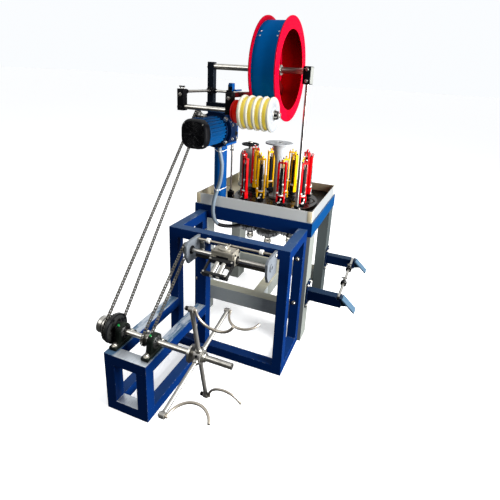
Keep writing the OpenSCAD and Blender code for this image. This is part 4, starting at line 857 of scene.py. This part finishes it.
def makeFanCover(s):
    p = Piece("fanCover", (s["x"], s["front"], s["z"]))
    deep, power = s["cover"], s["squareness"]
    outline = []  # a square with round corners
    for u, v in circle(7.5 * k for k in range(48)):
        reach = min(s["cornerLimit"], (abs(u) ** power + abs(v) ** power) ** (-1 / power))
        outline.append((s["coverHalf"] * reach * u, s["coverHalf"] * reach * v))
    rings = []
    for scale, y in ((1.0, deep), (1.0, 22), (0.985, 12), (0.93, 4), (0.84, 0), (0.8, 3)):
        rings.append([(scale * x, y, scale * z) for x, z in outline])
    p.skin(rings, blackPaint)
    face = (0, s["grille"], 0)
    for r in s["grilleRings"]:
        p.lathe([(r - 1.6, 0), (r - 0.8, 3.2), (r + 0.8, 3.2), (r + 1.6, 0)], blackPaint, face, toFront, 48)
    for t in range(0, 360, 45):
        place = Matrix.Translation(face) @ Matrix.Rotation(math.radians(t), 4, "Y")
        p.box((8, -3.4, -1.5), (60, 0.4, 1.5), blackPaint, 0.5, place)
    p.lathe([(0, 0), (11, 0), (11, 3), (8, 4.5), (0, 4.5)], blackPaint, face, toFront, 32)
    for x in (-s["screwAt"], s["screwAt"]):
        for z in (-s["screwAt"], s["screwAt"]):
            p.hexHead((x, 5, z), toFront, 4, 4, brightSteel)
    p.done("black_paint", covers=["motor_fan_cover"], sharp=40.0)


def makeMotorTrim(s):
    p = Piece("motorTrim", (s["x"], s["face"], s["z"]))
    bolt, rib = s["flangeBolt"], s["ribAt"]
    for u, v in circle((45, 135, 225, 315)):
        p.hexHead((bolt * u, -12, bolt * v), toFront, 9, 8, brightSteel, 13)
        p.box((rib * u - 8, -40, rib * v - 8), (rib * u + 8, -12, rib * v + 8), motorPaint, 3)
    for y in (s["front"] + s["cover"] + 0.5 - s["face"], -22.5):
        p.ring(s["body"] + 4, 40, 10, motorPaint, (0, y, 0), toBack, 64, 2)
    p.done("blue_paint")


makeFanCover(haulMotor)
makeMotorTrim(haulMotor)

# worm gearbox: covers, bolts, plugs and cooling ribs over the plain block
gearbox = {"at": (-255, -35, 1097), "size": (104, 146, 165), "out": (66, 128), "outBolts": 27, "cover": 7,
           "coverZ": 84, "coverBolts": ((-54, -2, 52), (20, 94)), "ribs": range(14, 81, 22)}


def makeGearboxTrim(s):
    p = Piece("gearboxTrim", s["at"])
    wide, deep, tall = s["size"]
    outY, outZ = s["out"]
    middle = deep / 2 + 4
    plate = [(-60, -70), (48, -70), (60, -58), (60, 20), (-60, 20), (-66, 6), (-66, -58)]
    for side, x in ((1, wide), (-1, 0)):
        p.ring(36, 34.4, 6, motorPaint, (x, outY, outZ), (side, 0, 0), 48, 1.5)
        p.boltCircle((x + side * 10, outY, outZ), (side, 0, 0), s["outBolts"], range(30, 390, 60), 4.5, 4,
                     brightSteel)
        p.prism(plate, 0, s["cover"], motorPaint, 2.0, upright(x, middle, s["coverZ"], side))
        for dy in s["coverBolts"][0]:
            for z in s["coverBolts"][1]:
                p.hexHead((x + side * s["cover"], middle + dy, z), (side, 0, 0), 5.5, 5, brightSteel, 8)
    for z in (6, tall - 8):
        p.box((-3, 4, z - 4), (wide + 3, deep - 2, z + 4), motorPaint, 1.5)
    p.hexHead((wide + s["cover"], deep - 26, 46), toRight, 9, 7, blackPlastic, 12)
    p.hexHead((wide - 30, deep - 22, tall), toTop, 10, 10, blackPlastic, 13)
    for x in s["ribs"]:
        p.box((x, deep - 0.5, 16), (x + 6, deep + 5, 52), motorPaint, 1.5)
    p.done("blue_paint")


makeGearboxTrim(gearbox)
print("haul drive dressed")

# separator roller turned from nylon, and the nut on its shaft
roller = {"at": (24, -212, 1290), "flanges": 5, "flange": 17, "groove": 17, "outer": 77, "inner": 60,
          "bore": 12.05, "round": 7.5}


def makeRoller(s):
    p = Piece("separatorRoller", s["at"])
    outer, inner, r = s["outer"], s["inner"], s["round"]
    quarter = circle(range(0, 91, 18))
    profile = [(s["bore"], 0)]
    for i in range(s["flanges"]):
        a = i * (s["flange"] + s["groove"])
        b = a + s["flange"]
        profile += [(outer - r + r * v, a + r - r * u) for u, v in quarter]
        profile += [(outer - r + r * u, b - r + r * v) for u, v in quarter]
        if i < s["flanges"] - 1:
            c = b + s["groove"]
            profile += [(inner + 4, b), (inner + 1.2, b + 1.2), (inner, b + 4),
                        (inner, c - 4), (inner + 1.2, c - 1.2), (inner + 4, c)]
    profile += [(40, b), (38, b - 2), (26, b - 2), (24, b), (s["bore"], b)]
    p.lathe(profile, nylonCream, (0, 0, 0), toRight, 72)
    p.done("white_nylon", "separator", ["grooved_roller"], 50.0)
    nut = Piece("rollerNut", Vector(s["at"]) + Vector((b, 0, 0)))
    nut.ring(24, s["bore"], 3, brightSteel, (0.3, 0, 0), toRight, 32, 0.4)
    nut.hexHead((3, 0, 0), toRight, 20.6, 14, blackPaint)
    nut.rod((16, 0, 0), (27, 0, 0), 12.2, brightSteel, 1.5)
    nut.done("black_paint", "separator")


makeRoller(roller)

# bracket that carries the roller: two clamp blocks, rods and a flat arm
rollerBracket = {"at": (0, -212, 1372), "blocks": ((-312, 34), (-58, 33)), "half": 18, "tall": 100,
                 "shaftZ": -82, "armZ": -12, "rod": 7, "postX": -285, "postFront": 257,
                 "crossX": -310, "crossY": 274, "armX": -52.5, "armWide": 22}


def makeRollerBracket(s):
    p = Piece("rollerBracket", s["at"])
    half, tall, armZ, postX, crossY = s["half"], s["tall"], s["armZ"], s["postX"], s["crossY"]
    for x, w in s["blocks"]:
        middle = x + w / 2
        p.box((x, -half, -tall), (x + w, half, 0), blackPaint, 1.8)
        slitTop = s["shaftZ"] - 14
        p.box((middle - 1, -half - 0.3, 1 - tall), (middle + 1, 3 - half, slitTop), blackPlastic, 0.3)
        p.ring(17, 12.1, 2.0, brightSteel, (x - 2, 0, s["shaftZ"]), toRight, 32, 0.4)
        p.hexHead((middle, -half, -26), toFront, 6.5, 6, brightSteel, 9)
        p.ring(7, 3.6, 5, blackPlastic, (middle, -half, 16 - tall), toFront, 20, 0.8)
    for dx in (9, 25):
        x = s["blocks"][0][0] + dx
        p.rod((x, 0, 0), (x, 0, 10), 3.2, brightSteel, 0.4, 12)
        p.ring(7.5, 2.5, 6.5, blackPlastic, (x, 0, 7), toTop, 20, 1.2)
    p.rod((postX, half, armZ), (postX, s["postFront"], armZ), s["rod"], brightSteel, 0.8)
    p.hexHead((postX, s["postFront"], armZ), toFront, 16, 10, blackPaint, 20)
    p.ring(11, 7.1, 8, blackPaint, (postX, half, armZ), toBack, 24, 1)
    p.rod((s["crossX"], crossY, armZ), (s["armX"] + 11, crossY, armZ), s["rod"], brightSteel, 0.6)
    p.hexHead((s["crossX"] + 42, crossY, armZ), toRight, 13, 9, blackPaint, 16)
    p.hexHead((s["crossX"] + 8, crossY, armZ), toLeft, 13, 9, blackPaint, 16)
    armEnd = s["armX"] + s["armWide"]
    p.box((s["armX"], half, armZ - 11), (armEnd, crossY + 12, armZ + 11), darkRed, 2)
    p.hexHead((armEnd, crossY, armZ), toRight, 11, 7, brightSteel, 14)
    x = s["blocks"][1][0]  # blue stop on a stub, and the wing of the side clamp
    p.box((x + 2, -14, 0), (x + 28, 14, 10), blackPaint, 2)
    p.box((x + 8, -10, 9), (x + 24, 10, 34), blackPaint, 2)
    p.box((x + 12, -13, 24), (x + 33, 13, 41), bluePaint, 2.5)
    p.box((x + 29, -12, 6), (x + 33, 12, 26), bluePaint, 1.2)
    p.box((x + 32, -5, 6), (x + 50, 5, 14), bluePaint, 2)
    p.rod((x + 42, 0, 10), (x + 66, 14, 13), 3.6, bluePaint, 1.2, 12)
    p.done("black_paint", covers=["roller_bracket"])


makeRollerBracket(rollerBracket)

# right-hand stand of the drum axle
axleStand = {"at": (241, 62, 0), "foot": 25, "footZ": (734, 784), "rod": 9, "blockZ": (1424, 1508),
             "blockHalf": (19, 30), "axleZ": 1484}


def makeAxleStand(s):
    p = Piece("axleStand", s["at"])
    foot, (footLow, footTop) = s["foot"], s["footZ"]
    rod, (low, top), (hx, hy) = s["rod"], s["blockZ"], s["blockHalf"]
    p.box((-foot, -foot, footLow), (foot, foot, footTop), blackPaint, 3)
    for x in (-17, 17):
        p.hexHead((x, -14, footTop), toTop, 6, 5, brightSteel, 8)
    p.rod((0, 0, footTop), (0, 0, low + 1), rod, brightSteel, 0.6, 28)
    p.ring(rod + 7, rod, 14, blackPaint, (0, 0, footTop), toTop, 28, 1.5)
    p.box((-hx, -hy, low), (hx, hy, top), blackPaint, 2)
    p.box((hx - 1, 3 - hy, low + 3), (hx + 1.2, hy - 3, top - 3), greyPaint, 0.8)
    for z in (top - 14, low + 16):
        p.hexHead((0, -hy, z), toFront, 6.5, 6, brightSteel, 9)
    p.ring(24, 15.1, 3, brightSteel, (-hx - 3, 0, s["axleZ"]), toRight, 32, 0.6)
    p.done("black_paint", covers=["axle_stand"])


makeAxleStand(axleStand)
print("capstan dressed")

# ribbed motor conduit
conduit = {
    "route": [(-200, 2, 1085), (-198, 1, 1055), (-190, 1, 1015), (-184, 2, 975), (-186, 3, 930),
              (-193, 4, 885), (-203, 2, 845), (-214, -4, 805), (-222, -10, 765), (-225, -14, 725),
              (-223, -15, 690), (-212, -15, 655), (-192, -8, 630), (-166, 12, 618), (-140, 36, 612),
              (-116, 64, 608), (-100, 96, 612), (-96, 116, 622), (-96, 120, 636)],
    "radius": 10.8, "rib": 0.5, "ribStep": 3.2, "blackFrom": 0.74, "gland": 16,
}


def smoothRoute(points, step, fineness=24):
    points = [Vector(p) for p in points]
    fine = []
    for i in range(len(points) - 1):
        p0, p1, p2 = points[max(i - 1, 0)], points[i], points[i + 1]
        p3 = points[min(i + 2, len(points) - 1)]
        for k in range(fineness):
            t = k / fineness
            square = (2 * p0 - 5 * p1 + 4 * p2 - p3) * t ** 2
            cube = (3 * p1 - p0 - 3 * p2 + p3) * t ** 3
            fine.append(0.5 * (2 * p1 + (p2 - p0) * t + square + cube))
    fine.append(points[-1])
    even, gone = [fine[0]], 0.0
    for a, b in zip(fine, fine[1:]):
        gone += (b - a).length
        if gone >= step:
            even.append(b)
            gone = 0.0
    even[-1] = points[-1]
    return even


def makeConduit(s):
    path = smoothRoute(s["route"], s["ribStep"])
    cut = int(len(path) * s["blackFrom"])
    radii = [s["radius"] + (s["rib"] if i % 2 else -s["rib"]) for i in range(len(path))]
    p = Piece("conduitHose")
    p.sweep(path[:cut + 1], radii[:cut + 1], conduitGrey, 14)
    p.sweep(path[cut:], radii[cut:], blackPlastic, 14)
    x, y, z = s["route"][0]  # gland under the motor's box
    p.ring(15, 9, s["gland"], brightSteel, (x, y, z - s["gland"]), toTop, 24, 1.5)
    p.hexHead((x, y, z), toFloor, 17, 8, brightSteel)
    p.done("conduit_sheath", covers=["motor_conduit"], sharp=75.0)


# cable ties round the column and the conduit: height, then the conduit's place and radius
ties = {"column": (-223, 64, 35.6), "heights": ((1050, -197, 1, 12.0), (832, -206.5, 0.5, 12.0)), "band": 2.2}


def makeTies(s):
    p = Piece("cableTies")
    cx, cy, cr = s["column"]
    for z, x, y, r in s["heights"]:
        span = Vector((x - cx, y - cy))
        turn = math.degrees(math.atan2(span.y, span.x))
        lean = math.degrees(math.acos((cr - r) / span.length))
        roundColumn = circle(turn + lean + k * (360 - 2 * lean) / 30 for k in range(31))
        roundHose = circle(turn - lean + k * 2 * lean / 12 for k in range(13))
        path = [(cx + (cr + 1) * u, cy + (cr + 1) * v, z) for u, v in roundColumn]
        path += [(x + (r + 1) * u, y + (r + 1) * v, z) for u, v in roundHose]
        p.sweep(path, s["band"], whiteTie, 6, True)
        outward = span.normalized() * (r + 3)
        lock = Vector((x + outward.x, y + outward.y, z))
        p.box(lock - Vector((4, 3.5, 4)), lock + Vector((4, 3.5, 4)), whiteTie, 0.8)
        p.rod(lock, lock + Vector((26, -3, 3)), 1.4, whiteTie, 0.4, 6)
    p.done("conduit_sheath", sharp=50.0)


makeConduit(conduit)
makeTies(ties)

# upright head motor with a domed top, and the nut of its handwheel
headMotor = {"at": (-229, 505, 734), "foot": 74, "body": 66, "tall": 250, "shaft": 12.1, "wheelNut": 292}


def makeHeadMotor(s):
    p = Piece("headMotor", s["at"])
    foot, r, h = s["foot"], s["body"], s["tall"]
    profile = [(s["shaft"], 0), (foot - 1.5, 0), (foot, 1.5), (foot, 11), (foot - 2, 13), (r + 1, 14),
               (r, 16), (r, 60), (r - 1.5, 62), (r - 1.5, 66), (r, 68), (r, h - 52), (r - 1.5, h - 38),
               (r - 6, h - 24), (r - 14, h - 12), (r - 26, h - 4), (30, h - 0.5), (28, h), (s["shaft"], h)]
    p.lathe(profile, greyPaint, steps=64)
    p.boltCircle((0, 0, 12.5), toTop, foot - 4, range(20, 380, 60), 5, 6, brightSteel)
    p.box((50, -28, 84), (88, 20, 150), greyPaint, 5, segments=3)  # terminal box
    p.done("grey_paint", covers=["main_motor"], sharp=40.0)
    nut = Piece("wheelNut", s["at"])
    nut.hexHead((0, 0, s["wheelNut"]), toTop, 16, 9, brightSteel)
    nut.done("black_paint", "head_drive")


makeHeadMotor(headMotor)
print("head drive dressed")

# cream corner strips on the tray rim
tray = {"half": 342, "front": 8, "back": 612, "low": 734.2, "high": 792.6, "wide": 24, "proud": 1.0}


def makeTrayCorners(s):
    p = Piece("trayCorners")
    for x, sx in ((-s["half"], 1), (s["half"], -1)):
        for y, sy in ((s["front"], 1), (s["back"], -1)):
            outX, outY = x - sx * s["proud"], y - sy * s["proud"]
            for toX, toY in ((x + sx * s["wide"], y), (x, y + sy * s["wide"])):
                p.box((min(outX, toX), min(outY, toY), s["low"]), (max(outX, toX), max(outY, toY), s["high"]),
                      creamCap, 0.3)
    p.done("tray_paint")


makeTrayCorners(tray)

# reel: black knobs on two hooks, sockets of the arms, set screws and end plug
reel = {"at": (90, -704, 348), "reach": 262, "lean": 13, "socketAt": 27, "screwAt": 29,
        "end": 148, "tube": 12.5}


def makeReelTrim(s):
    arms = [Vector((0, u, v)) for u, v in circle(90 + s["lean"] + 90 * k for k in range(4))]
    between = [Vector((0, u, v)) for u, v in circle(135 + s["lean"] + 90 * k for k in range(4))]
    grip = [(0, 0), (6, 0), (8.2, 2), (8.6, 7), (8.6, 13), (7, 17), (0, 18)]
    socket = [(9.05, 0), (13, 0), (13, 10), (11, 13), (9.05, 13)]
    for k in (0, 2):
        knob = Piece("hookKnob%d" % (k + 1), s["at"])
        start = arms[k] * s["reach"] - Vector((10.4, 0, 0))
        knob.lathe(grip, blackPlastic, start, toLeft, 20)
        knob.done("black_plastic", "hook_%d" % (k + 1))
    p = Piece("reelTrim", s["at"])
    for out, side in zip(arms, between):
        p.lathe(socket, brightSteel, out * s["socketAt"], out, 24)
        screw = side * s["screwAt"]
        p.hexHead(screw, side, 6, 6, blackPaint)
        p.hexHead(screw - Vector((40, 0, 0)), toLeft, 5.5, 5, brightSteel)
    p.ring(s["tube"] + 0.4, 12, 1.2, blackPaint, (s["end"] - 0.6, 0, 0), toRight, 32, 0.3)
    p.ring(s["tube"] + 7, s["tube"], 14, brightSteel, (16, 0, 0), toRight, 32, 1)
    p.done("bright_steel", "winder")


makeReelTrim(reel)
print("reel dressed")

# drum: rivets of the belt joint, bolts on the hub and webs that stiffen the three arms
drum = {"at": (50, 62, 1484), "surface": 226, "rivetX": (0, 85), "rivetAngles": (45, 38), "rivet": 4.2,
        "hubHalf": 35, "boltAt": 27}


def makeDrumTrim(s):
    p = Piece("drumTrim", s["at"])
    r = s["rivet"]
    for x in s["rivetX"]:
        for u, v in circle(s["rivetAngles"]):
            out = Vector((0, -u, v))
            at = Vector((x, 0, 0)) + out * (s["surface"] - 0.4)
            p.lathe([(0, 0), (r, 0), (r, 0.9), (r * 0.7, 1.9), (0, 2.3)], whiteTie, at, out, 20)
    for side in (-1, 1):
        end = (side * s["hubHalf"], 0, 0)
        p.boltCircle(end, (side, 0, 0), s["boltAt"], (30, 150, 270), 5, 4.5, brightSteel)
    stand = Matrix.Rotation(math.radians(90), 4, "X")
    for t in (0, 120, 240):
        turn = Matrix.Rotation(math.radians(t), 4, "X") @ stand
        p.prism([(6, 33), (30, 33), (6, 100)], -4, 4, darkRed, 0.8, turn)
        p.prism([(-6, 33), (-6, 100), (-30, 33)], -4, 4, darkRed, 0.8, turn)
    p.done("drum_paint", "capstan")


makeDrumTrim(drum)

# traverse unit: end plates, collars, carriage caps and the reversing lever; heights and depths from its shaft
traverse = {"at": (0, -386, 640), "plates": ((-150, -1), (267, 1)), "plate": 12, "gate": 82, "top": 50,
            "rod": (58, 36), "collars": (-88, 189), "collarWide": 16, "carriageX": 40, "half": 52,
            "y": (-31, 31), "z": (-28, 42), "tilt": 28, "forkLength": 86, "forkHalf": 63, "rollerPitch": 32,
            "leverZ": 42.3}


def makeTraverseTrim(s):
    p = Piece("traverseTrim", s["at"])
    gate, top, (rodY, rodZ) = s["gate"], s["top"], s["rod"]
    for x, side in s["plates"]:
        p.ring(19, 10.2, 5, plateAlloy, (x, 0, 0), (side, 0, 0), 32, 1)
        p.hexHead((x, rodY, rodZ), (side, 0, 0), 9, 7, brightSteel)
        inner = x - side * s["plate"]
        p.ring(21, 10.2, 4, blackPaint, (inner, 0, 0), (-side, 0, 0), 32, 1)
        lo, hi = sorted((inner, inner - side * 26))  # foot on the gate
        p.box((lo, gate - 7, top - 92), (hi, gate, top - 20), plateAlloy, 1.2)
        for z in (top - 34, top - 78):
            p.hexHead((inner - side * 14, gate - 7, z), toFront, 7, 5, brightSteel, 10)
    for x in s["collars"]:
        p.ring(13.2, 6, s["collarWide"] + 1, whiteCeramic, (x - 0.5, rodY, rodZ), toRight, 28, 1.2)
        middle = x + s["collarWide"] / 2
        p.rod((middle, rodY - 12, rodZ), (middle, rodY - 19, rodZ), 2.6, brightSteel, 0.5, 10)
    p.done("bright_steel")


def makeCarriageTrim(s):
    p = Piece("carriageTrim", Vector(s["at"]) + Vector((s["carriageX"], 0, 0)))
    half, (y0, y1), (z0, z1) = s["half"], s["y"], s["z"]
    for side in (-1, 1):
        face, out = side * half, (side, 0, 0)
        lo, hi = sorted((face - side * 0.5, face + side * 7))
        p.box((lo, y0 + 3, z0 + 4), (hi, y1 - 3, z1 - 4), paleAlloy, 2)
        p.ring(25, 10.3, 9, paleAlloy, (face + side, 0, 0), out, 40, 1.5)
        p.ring(20, 10.3, 10.5, blackPlastic, (face + side, 0, 0), out, 40, 0.8)
        for y in (-22, 22):
            for z in (-20, 32):
                p.ring(4.6, 2.2, 3.5, blackPlastic, (face + side * 7, y, z), out, 16, 0.6)
    p.box((-54, y0 - 2.5, z1 - 12), (54, y1 + 2.5, z1 - 0.6), paleAlloy, 1.6)  # overhanging cover
    p.box((-30, y0 - 3, z0 + 30), (30, y0 + 1, z0 + 46), blackPaint, 1.0)
    p.box((8, y0 + 10, z0 - 20), (44, y0 + 46, z0 + 1), paleAlloy, 2.5)  # pitch setting block under the body
    p.rod((26, y0 + 28, z0 - 20), (26, y0 + 28, z0 - 30), 8, blackPlastic, 1.5, 16)
    for x in (-46, 46):
        for y in (y0 + 8, y0 + 54):
            p.ring(4.4, 2.2, 2.2, blackPlastic, (x, y, z1 - 1.2), toTop, 16, 0.5)
    fork = Matrix.Translation((0, y0, z0 + 22)) @ Matrix.Rotation(math.radians(s["tilt"]), 4, "X")
    n, w = s["forkLength"], s["forkHalf"]
    for x in (-s["rollerPitch"] / 2, s["rollerPitch"] / 2):
        p.hexHead((x, -n, 0), toFront, 7, 5, brightSteel, 9, fork)
    for x in (-w + 9, w - 9):
        p.hexHead((x, -n, 0), toFront, 6, 5, blackPlastic, 0, fork)
        for y in (-n + 6, -6):
            p.hexHead((x, y, 14), toTop, 5, 4, brightSteel, 0, fork)
    p.rod((-w - 6, -n + 6, -4), (-w + 1, -n + 6, -4), 6, brightSteel, 1, 16, fork)
    p.done("machined_steel", "carriage")


def makeLever(s):
    p = Piece("reverseLever", Vector(s["at"]) + Vector((s["carriageX"], 0, s["leverZ"])))
    outer = [(33 * u, -8 + 22 * v) for u, v in circle(range(200, 341, 14))]
    inner = [(33 * u, -2 + 11 * v) for u, v in circle(range(335, 199, -15))]
    p.prism(outer + inner, 0.3, 8, paleAlloy, 1.0)
    p.prism([(-9, -12), (9, -12), (7, 20), (5, 46), (-5, 46), (-7, 20)], 0.3, 7, paleAlloy, 1.0)
    p.lathe([(0, 0), (11, 0), (12, 1), (12, 8), (0, 8)], paleAlloy, (0, 0, 0.2), toTop, 28)
    p.hexHead((0, 0, 8), toTop, 8, 6, brightSteel, 10)
    p.rod((0, 40, 6), (0, 40, 13), 4, blackPlastic, 1, 14)
    p.done("machined_steel", "lever", ["reverse_lever"])


makeTraverseTrim(traverse)
makeCarriageTrim(traverse)
makeLever(traverse)
print("traverse dressed")

# slip clutch: bright adjusting hub with its nut, face bolts and a ring round the face
clutch = {"at": (-410, -704, 348), "hubRadius": 37, "face": 82, "faceRadius": 67, "boltAt": 40}


def makeClutchTrim(s):
    p = Piece("clutchTrim", s["at"])
    r = s["hubRadius"]
    hub = [(0, -0.8), (r - 6, -0.8), (r - 5, 1.5), (r - 2, 1.5), (r + 0.6, 4), (r + 0.6, 22), (r - 1.5, 23),
           (r - 1.5, 26), (r + 0.6, 27), (r + 0.6, 36), (r - 0.5, 37)]
    p.lathe(hub, brightSteel, (0, 0, 0), toRight, 48)
    p.hexHead((-0.5, 0, 0), toLeft, 14, 6, greasyIron, 18)
    p.boltCircle((s["face"], 0, 0), toRight, s["boltAt"], range(0, 360, 60), 6, 5, clutchIron)
    p.ring(s["faceRadius"] + 0.3, 60, 1.2, blackPaint, (s["face"] - 0.4, 0, 0), toRight, 64, 0.4)
    p.done("machined_steel", "winder")


makeClutchTrim(clutch)

# core pay-off: plate bolts on the legs, collars and wing screws on the rod
payoff = {"leg": 354, "ys": (59, 561), "z": 290, "plateHalf": (28, 62), "rod": (525, 0, 314),
          "collarYs": (209.6, 400.36)}


def makePayoffTrim(s):
    p = Piece("payoffTrim")
    hy, hz = s["plateHalf"]
    for y in s["ys"]:
        for dy, dz in ((-hy, -hz), (-hy, hz), (hy, -hz), (hy, hz)):
            p.hexHead((s["leg"], y + dy, s["z"] + dz), toRight, 8, 7, brightSteel, 11)
    p.done("navy_paint")
    wings = Piece("payoffWings", s["rod"])
    for y in s["collarYs"]:
        wings.ring(18.6, 8, 23, blackPaint, (0, y - 0.5, 0), toBack, 32, 1.5)
        wings.box((-17, y + 8.5, 31), (17, y + 13.5, 38), blackPlastic, 2.2)
        wings.rod((0, y + 11, 16), (0, y + 11, 32), 5, blackPaint, 0.6, 16)
    wings.done("black_paint", "payoff")


makePayoffTrim(payoff)

# upright core tube: screws and a ring on the former disc, bolts on the collar below
former = {"top": 1084, "screwAt": 56, "collarTop": 760, "boltAt": 34}


def makeFormerTrim(s):
    p = Piece("formerTrim", (*head["centre"], s["top"]))
    for u, v in circle(range(30, 390, 60)):
        p.ring(6, 2.4, 1.4, greasyIron, (s["screwAt"] * u, s["screwAt"] * v, -0.4), toTop, 20, 0.5)
    p.ring(27, 15.1, 1.8, turnedSteel, (0, 0, -0.2), toTop, 40, 0.6)
    collar = (0, 0, s["collarTop"] - s["top"])
    p.boltCircle(collar, toTop, s["boltAt"], range(0, 360, 90), 5.5, 5, turnedSteel)
    p.done("bright_steel")


makeFormerTrim(former)

# bolts through the rear posts of the gate
gateBolts = {"xs": (-301, 301), "face": -50, "zs": (274, 542), "head": 8, "washer": 13}


def makeGateBolts(s):
    p = Piece("gateBolts")
    for x in s["xs"]:
        for z in s["zs"]:
            p.hexHead((x, s["face"], z), toFront, s["head"], 6, brightSteel, s["washer"])
    p.done("bright_steel")


makeGateBolts(gateBolts)

# nuts, washers and collars at the lower ends of the horn shafts
hornEnds = {"shaft": 14.1, "low": 509.7, "gear": 66, "boltAt": 24}


def makeHornEnds(s):
    r, gear = s["shaft"], s["gear"]
    for k in range(1, head["count"] + 1):
        p = Piece("hornEnd_%d" % k, (*hornCentre(k), s["low"]))
        if k != head["driven"]:
            p.ring(30, r, 7, paleAlloy, (0, 0, gear - 7.2), toTop, 32, 1.2)
            p.boltCircle((0, 0, gear - 7.2), toFloor, s["boltAt"], range(0, 360, 60), 4, 4, brightSteel)
            p.ring(21, r, 16, blackPaint, (0, 0, gear - 24), toTop, 32, 2)
            p.ring(18.5, r, 10, brightSteel, (0, 0, gear - 36), toTop, 32, 1.5)
        p.ring(23, r, 3, brightSteel, (0, 0, 12.3), toTop, 32, 0.8)
        p.ring(20, r, 9, paleAlloy, (0, 0, 15.6), toTop, 32, 1.2)
        p.rod((-17, 0, 6), (19, 0, 6), 1.8, brightSteel, 0.4, 10)
        p.done("bright_steel", "horn_%d" % k)


makeHornEnds(hornEnds)

# stop rod: block on the tray, spring and switch bracket
stopRod = {"at": (-192, 143, 734), "block": 16, "blockTop": 56, "rod": 5, "bracketZ": 369, "bracketBack": -32,
           "spring": {"r": 8, "turn": 0.7, "rise": 0.55, "count": 108}, "springLow": 60, "wire": 1.1}


def makeStopRod(s):
    p = Piece("stopRod", s["at"])
    b, top, z, back = s["block"], s["blockTop"], s["bracketZ"], s["bracketBack"]
    p.box((-b, -b, 0), (b, b, top), blackPaint, 3)
    p.hexHead((b, 0, 30), toRight, 6, 6, brightSteel, 9)
    p.rod((0, 0, top - 1), (0, 0, z + 1), s["rod"], brightSteel, 0.4, 20)
    p.ring(10, s["rod"], 12, blackPaint, (0, 0, top), toTop, 24, 1.2)
    p.sweep(coil(0, 0, z - s["springLow"], **s["spring"]), s["wire"], brightSteel, 6)
    p.ring(11, s["rod"], 8, blackPaint, (0, 0, z - s["springLow"] - 10), toTop, 24, 1.2)
    p.box((-18, back, z), (18, back + 68, z + 80), blackPaint, 2.5)
    p.box((17, back + 8, z + 6), (22, back + 60, z + 74), bluePaint, 1.5)
    for dz in (18, 40, 62):
        p.hexHead((22, back + 34, z + dz), toRight, 5, 4.5, brightSteel, 7)
    p.done("black_paint", covers=["stop_rod"])


makeStopRod(stopRod)
print("small fittings made")

# floor, light and world
studio = {
    "world": (0.96, 0.98, 1.0),
    "bright": 1.0,  # world behind and above the machine
    "dim": 0.06,  # world below and on the near side
    "fades": (("Y", -0.75, 0.3), ("Z", -0.22, 0.0)),
    "floor": (0.9, 0.9, 0.9),
    "reach": 90.0,
    "floorGlow": 0.4,
    "lights": [  # place, aim, size, watts
        ((3300, -250, 1500), (100, -100, 700), 2.2, 420),
        ((-2200, -2600, 3300), (0, -100, 700), 2.4, 60),
        ((300, 300, 4300), (0, 0, 700), 2.6, 10),
        ((60, 90, 330), (40, 330, 600), 0.4, 2.2),  # light thrown up by the floor
    ],
}


def makeWorld(s):
    world = bpy.data.worlds.new("studioWorld")
    bpy.context.scene.world = world
    world.use_nodes = True
    g = Graph(world.node_tree)
    sky = g.tree.nodes["Background"]
    aim = g.add("ShaderNodeTexCoord", out="Generated")
    level = s["bright"]
    for letter, start, end in s["fades"]:
        level = g.ramp(g.split(aim, letter), start, end, s["dim"], level)
    seen = g.add("ShaderNodeLightPath", out="Is Camera Ray")  # the backdrop itself is white all round
    g.plug(sky.inputs[0], s["world"])
    g.plug(sky.inputs[1], g.add("ShaderNodeMix", None, {0: seen, 2: level, 3: s["bright"]}))
    bpy.context.scene.view_settings.view_transform = "Standard"


def makeFloor(s):
    mesh = bpy.data.meshes.new("studioFloor")
    r = s["reach"]
    mesh.from_pydata([(-r, -r, 0), (r, -r, 0), (r, r, 0), (-r, r, 0)], [], [(0, 1, 2, 3)])
    floor = addObject("studioFloor", mesh)
    f = Finish("studioFloor")
    base = f.mix(f.noise(0.4, 2.0), shade(s["floor"], 0.98), s["floor"])
    mesh.materials.append(f.set(Base_Color=base, Roughness=0.9, Specular_IOR_Level=0.1,
                                Emission_Color=(1.0, 1.0, 1.0, 1.0), Emission_Strength=s["floorGlow"]))
    floor.visible_diffuse = False  # white to look at, without lighting the machine from below
    floor.visible_glossy = False


def makeLights(s):
    for i, (place, aim, size, watts) in enumerate(s["lights"]):
        data = bpy.data.lights.new("softBox%d" % i, "AREA")
        data.size = size
        data.energy = watts
        lamp = addObject("softBox%d" % i, data)
        lamp.visible_camera = False
        lamp.location = toScene(place)
        lamp.rotation_euler = (toScene(aim) - lamp.location).to_track_quat("-Z", "Y").to_euler()


makeWorld(studio)
makeFloor(studio)
makeLights(studio)
print("studio made")
